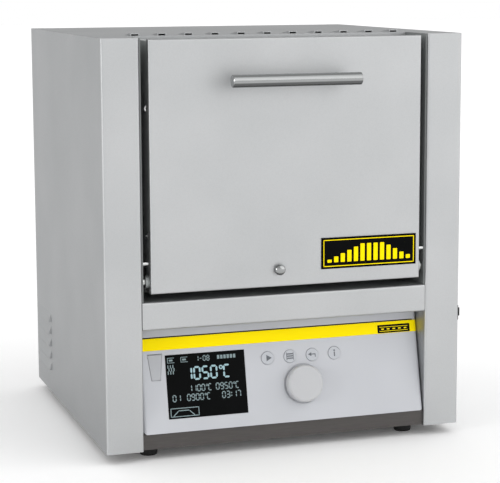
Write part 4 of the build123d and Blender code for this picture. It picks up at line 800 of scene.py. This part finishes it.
# %% The four signs
INK = 0.05
grey_ink = grained("grey printing ink", "#54585E", "#6A6E74", 0.8, 2)
start_sign = [flat_polygon(0.7, 0, 3.8, 3, INK, -pi / 2)]
menu_sign = [flat_bar(-3.1, 1.8 - 2.2 * row, 6.2, 1.3, INK) for row in range(3)]
menu_sign += [flat_bar(left, -3.7, 0.7, 7.8, INK) for left in (-3.9, 3.2)]
back_sign = [flat_polygon(-2.2, 0.5, 2.4, 3, INK, pi / 2), flat_bar(-1.6, 0.0, 5.2, 1.0, INK),
             flat_bar(2.7, -2.4, 0.9, 2.9, INK)]
info_sign = [flat_bar(-0.65, -3.4, 1.3, 4.7, INK), flat_polygon(0, 2.7, 0.95, 12, INK)]
for key, shapes in zip(KEYS, (start_sign, menu_sign, back_sign, info_sign)):
    left, right, low, high, out = face_on_panel(f"key_{key}")
    sign = set_on_panel(joined(shapes), (left + right) / 2, (low + high) / 2, out)
    settle(sign, f"{key}_sign", f"{key}_key", grey_ink)

# %% [markdown]
# ## Name plate
#
# The door carries a black plate with a yellow print: a thin line runs round it, and a row of bars
# rises, holds and falls, as the temperature of a firing does.

# %% The plate's print
LEVELS = (3, 6, 9, 12, 15, 18, 18, 18, 18, 15, 11, 7, 4)
BAR_PITCH, BAR_WIDTH, BAR_FOOT, MARGIN, LINE = 7.2, 4.6, 6.4, 2.2, 0.8
plate_low, plate_high = span("name_plate")
plate_size = plate_high - plate_low
print_bars = outline(MARGIN, MARGIN, plate_size.x - 2 * MARGIN, plate_size.z - 2 * MARGIN, LINE, INK)
first_bar = (plate_size.x - BAR_PITCH * (len(LEVELS) - 1) - BAR_WIDTH) / 2
for index, level in enumerate(LEVELS):
    bar_left = first_bar + BAR_PITCH * index
    print_bars.append(flat_bar(bar_left, BAR_FOOT, BAR_WIDTH, level, INK, corner=0.5))
plate_print = joined(print_bars)
plate_print.rotation_euler = (pi / 2, 0, 0)
plate_print.location = (plate_low + Vector((0, SINK, 0))) * MM
settle(plate_print, "name_plate_print", "door", yellow_film)

# %% [markdown]
# ## Tag on the stripe
#
# A small black tag is printed over the right end of the yellow stripe, with two lines and a row of
# dashes between them.

# %% The tag and its dashes
TAG_WIDTH, TAG_HEIGHT, TAG_THICKNESS, TAG_MARGIN = 36.6, 8.6, 0.06, 2.3
TAG_END_GAP, TAG_FOOT_GAP, TAG_LINE = 4.4, 0.4, 0.5
stripe_left, stripe_right, stripe_low, stripe_high, stripe_out = face_on_panel("accent_stripe")
tag_left, tag_low = stripe_right - TAG_END_GAP - TAG_WIDTH, stripe_low + TAG_FOOT_GAP
tag = flat_bar(0, 0, TAG_WIDTH, TAG_HEIGHT, TAG_THICKNESS, corner=0.8)
set_on_panel(tag, tag_left, tag_low, stripe_out)
settle(tag, "stripe_tag", "furnace", gloss_black)
dashes = [flat_bar(TAG_MARGIN, low, TAG_WIDTH - 2 * TAG_MARGIN, TAG_LINE, INK) for low in (1.7, 6.0)]
dashes += bar_row(5, pitch=6.4, left=4.3, low=3.5, width=3.0, height=1.2, thickness=INK)
dashes = set_on_panel(joined(dashes), tag_left, tag_low, stripe_out + TAG_THICKNESS)
settle(dashes, "stripe_tag_print", "furnace", yellow_film)

# %% [markdown]
# ## Gap above the stripe
#
# Above the yellow stripe a groove runs across the panel, where the moulding's upper lip begins. A thin
# strip with the black rubber finish is laid into it as painted shade: seen from the front it is the
# thin dark line over the yellow.

# %% Black strip of painted shade in the groove
GROOVE_HEIGHT, GROOVE_DEPTH, END_GAP, SIDE_GAP, SHADOW_STRIP_DEPTH = 1.4, 1.4, 0.7, 0.05, 0.8
shadow_strip_length = stripe_right - stripe_left - 2 * END_GAP
groove_shadow_strip = flat_bar(stripe_left + END_GAP, SIDE_GAP, shadow_strip_length, GROOVE_HEIGHT - 2 * SIDE_GAP,
                       SHADOW_STRIP_DEPTH, corner=0.3)
set_on_panel(groove_shadow_strip, 0, stripe_high, 2 * SINK - GROOVE_DEPTH)
settle(groove_shadow_strip, "groove_shadow_strip", "furnace", foot_rubber)

# %% [markdown]
# ## Turned shapes
#
# Screws and feet are round. A filled circle is grown ring by ring: each extrusion goes to the next
# height and is scaled to the next radius. Every ring is one pair of numbers, and both ends are closed
# from the start.

# %% A round piece from its rings
SHARP = radians(35)


def turned(rings, corners=28):
    """A round closed piece upright on the origin. Each ring is a radius and a height in millimetres."""
    radius, height = rings[0]
    bpy.ops.mesh.primitive_circle_add(vertices=corners, radius=radius * MM, fill_type="NGON",
                                      location=(0, 0, height * MM))
    piece = bpy.context.object
    bpy.ops.object.transform_apply()
    bpy.ops.object.mode_set(mode="EDIT")
    bpy.ops.mesh.select_all(action="SELECT")
    for wider, higher in rings[1:]:
        rise = (higher - height) * MM
        bpy.ops.mesh.extrude_region_move(TRANSFORM_OT_translate={"value": (0, 0, rise)})
        bpy.ops.transform.resize(value=(wider / radius, wider / radius, 1), center_override=(0, 0, 0))
        radius, height = wider, higher
    bpy.ops.mesh.select_all(action="SELECT")
    bpy.ops.mesh.normals_make_consistent(inside=False)
    bpy.ops.object.mode_set(mode="OBJECT")
    bpy.ops.object.shade_smooth_by_angle(angle=SHARP)
    return piece


# %% [markdown]
# ## Air inlet knob
#
# The knob that opens the air inlet is turned from bar with a domed face, so it catches one small
# light. Its rings begin at the door, step out from a short neck and close over the dome.

# %% The domed knob
low, high = span("air_knob")
knob = turned([(4.5, 0), (4.7, 0.3), (4.7, 0.9), (5.3, 1.1), (5.5, 1.4), (5.5, 2.1), (5.35, 2.8),
               (4.9, 3.5), (4.15, 4.1), (3.1, 4.55), (1.8, 4.86), (0.6, 4.98)], corners=40)
knob.rotation_euler = (pi / 2, 0, 0)
middle = (low + high) / 2
knob.location = Vector((middle.x, high.y, middle.z)) * MM
# The polished steel paints the knob's downward faces dark, a painted reflection.
settle(knob, "inlet_knob", "air_control", polished_steel)
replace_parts(knob, "air_knob")

# %% [markdown]
# ## Screws
#
# The rear panel, the door, its surround, the exhaust flange and the mains inlet are held by pan head
# screws with a cross recess. The head is grown from rings, then two thin blocks are cut out of it, one
# across the other. Each kind is made once, and its copies are turned so that they don't all look alike.

# %% A pan head screw
CROSS_WIDTH_SHARE, CROSS_SHARE, CROSS_DEPTH = 0.27, 1.15, 1.1


def pan_head_screw(radius, head, shank_radius, shank):
    """A screw along Z with its head above zero, in millimetres."""
    screw = turned([
        (shank_radius * 0.6, -shank), (shank_radius, 0.5 - shank), (shank_radius, 0), (radius * 0.93, 0),
        (radius, 0.15 * head), (radius, 0.4 * head), (radius * 0.93, 0.68 * head),
        (radius * 0.74, 0.88 * head), (radius * 0.45, head)])
    for turn in (0, pi / 2):
        bpy.ops.mesh.primitive_cube_add(size=1, location=(0, 0, head * MM), rotation=(0, 0, turn))
        blade = bpy.context.object
        blade.scale = Vector((CROSS_SHARE * radius, CROSS_WIDTH_SHARE * radius, 2 * CROSS_DEPTH)) * MM
        bpy.ops.object.transform_apply()
        only(screw)
        cut = screw.modifiers.new("cross recess", "BOOLEAN")
        cut.operation = "DIFFERENCE"
        cut.object = blade
        bpy.ops.object.modifier_apply(modifier=cut.name)
        bpy.data.objects.remove(blade)
    bpy.ops.object.shade_smooth_by_angle(angle=SHARP)
    return screw


# %% A set of small steel pieces
def spread(pattern, places):
    """Copies a pattern to its places, each a point in millimetres and a turn, and joins the copies."""
    piece = joined([copy_at(pattern, point, turn) for point, turn in places])
    bpy.data.objects.remove(pattern)
    return piece


def steel_set(name, body, pattern, places):
    """A small steel piece at all its places, each a point in millimetres and a turn, as one piece."""
    return settle(spread(pattern, places), name, body, turned_steel)


# %% Screws of the rear panel
REAR_RADIUS, REAR_HEAD, REAR_ROWS = 3.8, 1.9, 4
low, high = span("rear_panel_screws")
pitch = (high.z - low.z - 2 * REAR_RADIUS) / (REAR_ROWS - 1)
places = []
for side in (low.x + REAR_RADIUS, high.x - REAR_RADIUS):
    for row in range(REAR_ROWS):
        point = (side, high.y - REAR_HEAD, low.z + REAR_RADIUS + pitch * row)
        places.append((point, (-pi / 2, 0.9 * row + side, 0)))
pattern = pan_head_screw(REAR_RADIUS, REAR_HEAD, shank_radius=1.9, shank=8.0)
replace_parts(steel_set("rear_screws", "furnace", pattern, places), "rear_panel_screws")

# %% Screws of the exhaust flange
FLANGE_THICKNESS, FLANGE_SCREW_RING = 2.0, 21.0
low, high = span("exhaust_outlet")
middle = (low + high) / 2
places = []
for index in range(4):
    around = tau * (index + 0.5) / 4
    across, up = FLANGE_SCREW_RING * cos(around), FLANGE_SCREW_RING * sin(around)
    point = (middle.x + across, low.y + FLANGE_THICKNESS, middle.z + up)
    places.append((point, (-pi / 2, 0.7 * index, 0)))
pattern = pan_head_screw(radius=2.8, head=1.5, shank_radius=1.4, shank=1.9)
steel_set("flange_screws", "furnace", pattern, places)

# %% Screws in the sides of the door frame
FRAME_RADIUS, FRAME_HEAD = 3.4, 1.8
low, high = span("door_frame_screws")
places = []
for way, side in ((-1, low.x + FRAME_HEAD), (1, high.x - FRAME_HEAD)):
    for index, height in enumerate((low.z + FRAME_RADIUS, high.z - FRAME_RADIUS)):
        places.append(((side, (low.y + high.y) / 2, height), (0.6 + index, way * pi / 2, 0)))
pattern = pan_head_screw(FRAME_RADIUS, FRAME_HEAD, shank_radius=1.9, shank=4.5)
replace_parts(steel_set("frame_screws", "door", pattern, places), "door_frame_screws")

# %% Screws of the door's back plate, and of the surround that it faces
# The surround's screws are a little lower than the plate's, outside its edges and behind it.
PLATE_INSET, PLATE_PITCH = 10.8, 98.5
SURROUND_OUTSET, SURROUND_DROP, SURROUND_PITCH, SURROUND_DEPTH = 1.2, 2.0, 95.0, 4.0
low, high = span("door_back_plate")
top = high.z - PLATE_INSET
plate_places = [((0, high.y, top), (-pi / 2, 0.4, 0))]
surround_places = []
for row in range(3):
    for way in (-1, 1):
        plate_point = (way * (high.x - PLATE_INSET), high.y, top - PLATE_PITCH * row)
        surround_point = (way * (high.x + SURROUND_OUTSET), high.y + SURROUND_DEPTH,
                          top - SURROUND_DROP - SURROUND_PITCH * row)
        plate_places.append((plate_point, (-pi / 2, row + way, 0)))
        surround_places.append((surround_point, (pi / 2, row - 0.7 * way, 0)))
pattern = pan_head_screw(radius=2.8, head=1.3, shank_radius=1.4, shank=1.3)
steel_set("back_plate_screws", "door", pattern, plate_places)
pattern = pan_head_screw(radius=2.8, head=1.3, shank_radius=1.4, shank=1.1)
steel_set("surround_screws", "furnace", pattern, surround_places)

# %% [markdown]
# ## Feet
#
# Each rubber foot is a low cone with a rounded rim and a hollow from below, in which the head of its
# screw sits. The rings begin at the hollow's floor, go down to the rim and then up the outside.

# %% Feet and their screws
FOOT_RADIUS = 10.0
low, high = span("feet")
FOOT_PLACES = [((x, y, 0), (0, 0, 0)) for x in (low.x + FOOT_RADIUS, high.x - FOOT_RADIUS)
               for y in (low.y + FOOT_RADIUS, high.y - FOOT_RADIUS)]
pattern = turned([(3.6, 2.6), (4.7, 0.5), (5.3, 0), (8.0, 0), (8.7, 0.5), (9.0, 1.4), (9.9, 9.9),
                  (9.7, 10.6), (9.0, 11.0)])
feet = settle(spread(pattern, FOOT_PLACES), "rubber_feet", "furnace", foot_rubber)
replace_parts(feet, "feet")
pattern = turned([(2.2, 0.9), (3.0, 1.2), (3.3, 2.6), (2.5, 2.6), (2.5, 20.1), (2.1, 20.5)])
steel_set("foot_screws", "furnace", pattern, FOOT_PLACES)

# %% [markdown]
# ## Pins of the mains inlet
#
# The solid inlet has its pins in one piece with its plastic. Real pins are nickel plated, so a thin
# plated sleeve is put over each: a bar with cut corners, drawn out along the pin.

# %% Plated pins and the inlet's screws
PIN_PLACES = ((-7.0, -1.5), (0.0, 2.5), (7.0, -1.5))
PIN_WIDTH, PIN_HEIGHT, PIN_LENGTH, PIN_ROOT_DEPTH = 2.1, 4.5, 12.05, 4.0
INLET_SCREW_SIDE = 17.4
low, high = span("mains_inlet")
middle = (low + high) / 2
places = [((middle.x + across, low.y + PIN_ROOT_DEPTH, middle.z + up), (pi / 2, 0, pi))
          for across, up in PIN_PLACES]
pattern = flat_bar(-PIN_WIDTH / 2, -PIN_HEIGHT / 2, PIN_WIDTH, PIN_HEIGHT, PIN_LENGTH, corner=0.5)
steel_set("inlet_pins", "furnace", pattern, places)
places = [((middle.x + way * INLET_SCREW_SIDE, high.y, middle.z), (-pi / 2, way, 0)) for way in (-1, 1)]
pattern = pan_head_screw(radius=2.4, head=1.3, shank_radius=1.3, shank=2.0)
steel_set("inlet_screws", "furnace", pattern, places)

# %% [markdown]
# ## Marks of the mains switch
#
# The rocker has two faces that meet in a shallow valley. A bar is printed on the face for on and a ring
# on the face for off, in white ink like the grey one. The rocker rests tipped by 9 degrees, and each
# mark leans as its face does.

# %% The bar and the ring
ROCKER_PIVOT = Vector(joints["rocker_tip"]["pos_m"]) / MM
ROCKER_REST = radians(-9)
FACE_OUT, FACE_AWAY, FACE_LEAN = 4.55, 3.65, radians(17.5)
MARK_HEIGHT, MARK_WIDTH, MARK_LINE = 3.8, 0.8, 0.55
white_ink = grained("white printing ink", "#DCDCD8", "#ECECEA", 0.8, 2)
on_mark = flat_bar(-MARK_WIDTH / 2, -MARK_HEIGHT / 2, MARK_WIDTH, MARK_HEIGHT, INK)
off_mark = flat_ring(0, 0, MARK_HEIGHT / 2, MARK_LINE, INK)
for mark, way in ((on_mark, 1), (off_mark, -1)):
    out, along = FACE_OUT - SINK, FACE_AWAY * way
    shift = Vector((out * cos(ROCKER_REST) - along * sin(ROCKER_REST),
                    out * sin(ROCKER_REST) + along * cos(ROCKER_REST), 0))
    mark.location = (ROCKER_PIVOT + shift) * MM
    mark.rotation_euler = (pi / 2, 0, pi / 2 + ROCKER_REST - way * FACE_LEAN)
settle(joined([on_mark, off_mark]), "rocker_marks", "rocker", white_ink)

# %% [markdown]
# ## Floor and light
#
# The furnace stands on a plain white floor under soft light. Two suns give the same light everywhere:
# a very wide one from the front right, which leaves the left side in mild shade, and a low, narrower
# one from the left, which draws a thin highlight down each bent edge. The world fills in from all
# round, more from behind than from the front, so a soft shadow lies under the front edge. For the
# camera and for mirrors the world is white at the horizon and greyer overhead, as a studio's ceiling
# is, and the floor adds the little that it lacks to pure white, so only the shadow shows on it.

# %% Floor
def seen_directly(tree):
    """One for rays of the camera and of mirrors, zero for the rays that only carry light."""
    rays = add(tree, "LightPath", {})
    mirror = add(tree, "Math", {
        0: rays.outputs["Is Glossy Ray"], 1: rays.outputs["Is Transmission Ray"]}, operation="MAXIMUM")
    return add(tree, "Math", {0: rays.outputs["Is Camera Ray"], 1: mirror}, operation="MAXIMUM")


bpy.ops.mesh.primitive_plane_add(size=30, location=(0, 0, 0))
floor = bpy.context.object
floor.name = "floor"
floor_paint, tree, surface, place = start_finish("white floor paint", roughness=0.9)
surface["Base Color"].default_value = linear("#FFFFFF")
surface["Specular IOR Level"].default_value = 0.0
lift = add(tree, "MapRange", {"Value": seen_directly(tree), "To Max": 0.05})
glow = add(tree, "Emission", {"Color": linear("#FFFFFF"), "Strength": lift})
add(tree, "AddShader", {
    0: tree.nodes["Principled BSDF"], 1: glow}, tree.nodes["Material Output"].inputs["Surface"])
floor.data.materials.append(floor_paint)

# %% World
world = bpy.data.worlds.new("soft studio")
world.use_nodes = True
bpy.context.scene.world = world
tree = world.node_tree
background = tree.nodes["Background"]
background.inputs["Color"].default_value = linear("#FFFFFF")
way = add(tree, "TexCoord", {}).outputs["Generated"]
rise = add(tree, "SeparateXYZ", {"Vector": way})
ceiling = add(tree, "MapRange", {
    "Value": rise.outputs["Z"], "From Min": 0.15, "From Max": 0.5, "To Min": 1.0, "To Max": 0.7})
backlight = add(tree, "MapRange", {
    "Value": rise.outputs["Y"], "From Min": -1.0, "From Max": 1.0, "To Min": 0.55, "To Max": 1.15})
add(tree, "MapRange", {
    "Value": seen_directly(tree), "To Min": backlight, "To Max": ceiling}, background.inputs["Strength"])

# %% Suns: name, turn in degrees, power and width in degrees
SUNS = (("main_sun", (60, 0, 50), 1.0, 70), ("left_sun", (78, 0, -72), 0.65, 20))
for name, turn, power, width in SUNS:
    bpy.ops.object.light_add(type="SUN", location=(0, 0, 2), rotation=[radians(a) for a in turn])
    sun = bpy.context.object
    sun.name = name
    sun.data.energy = power
    sun.data.angle = radians(width)
    print(name, "turned", turn, "power", power)
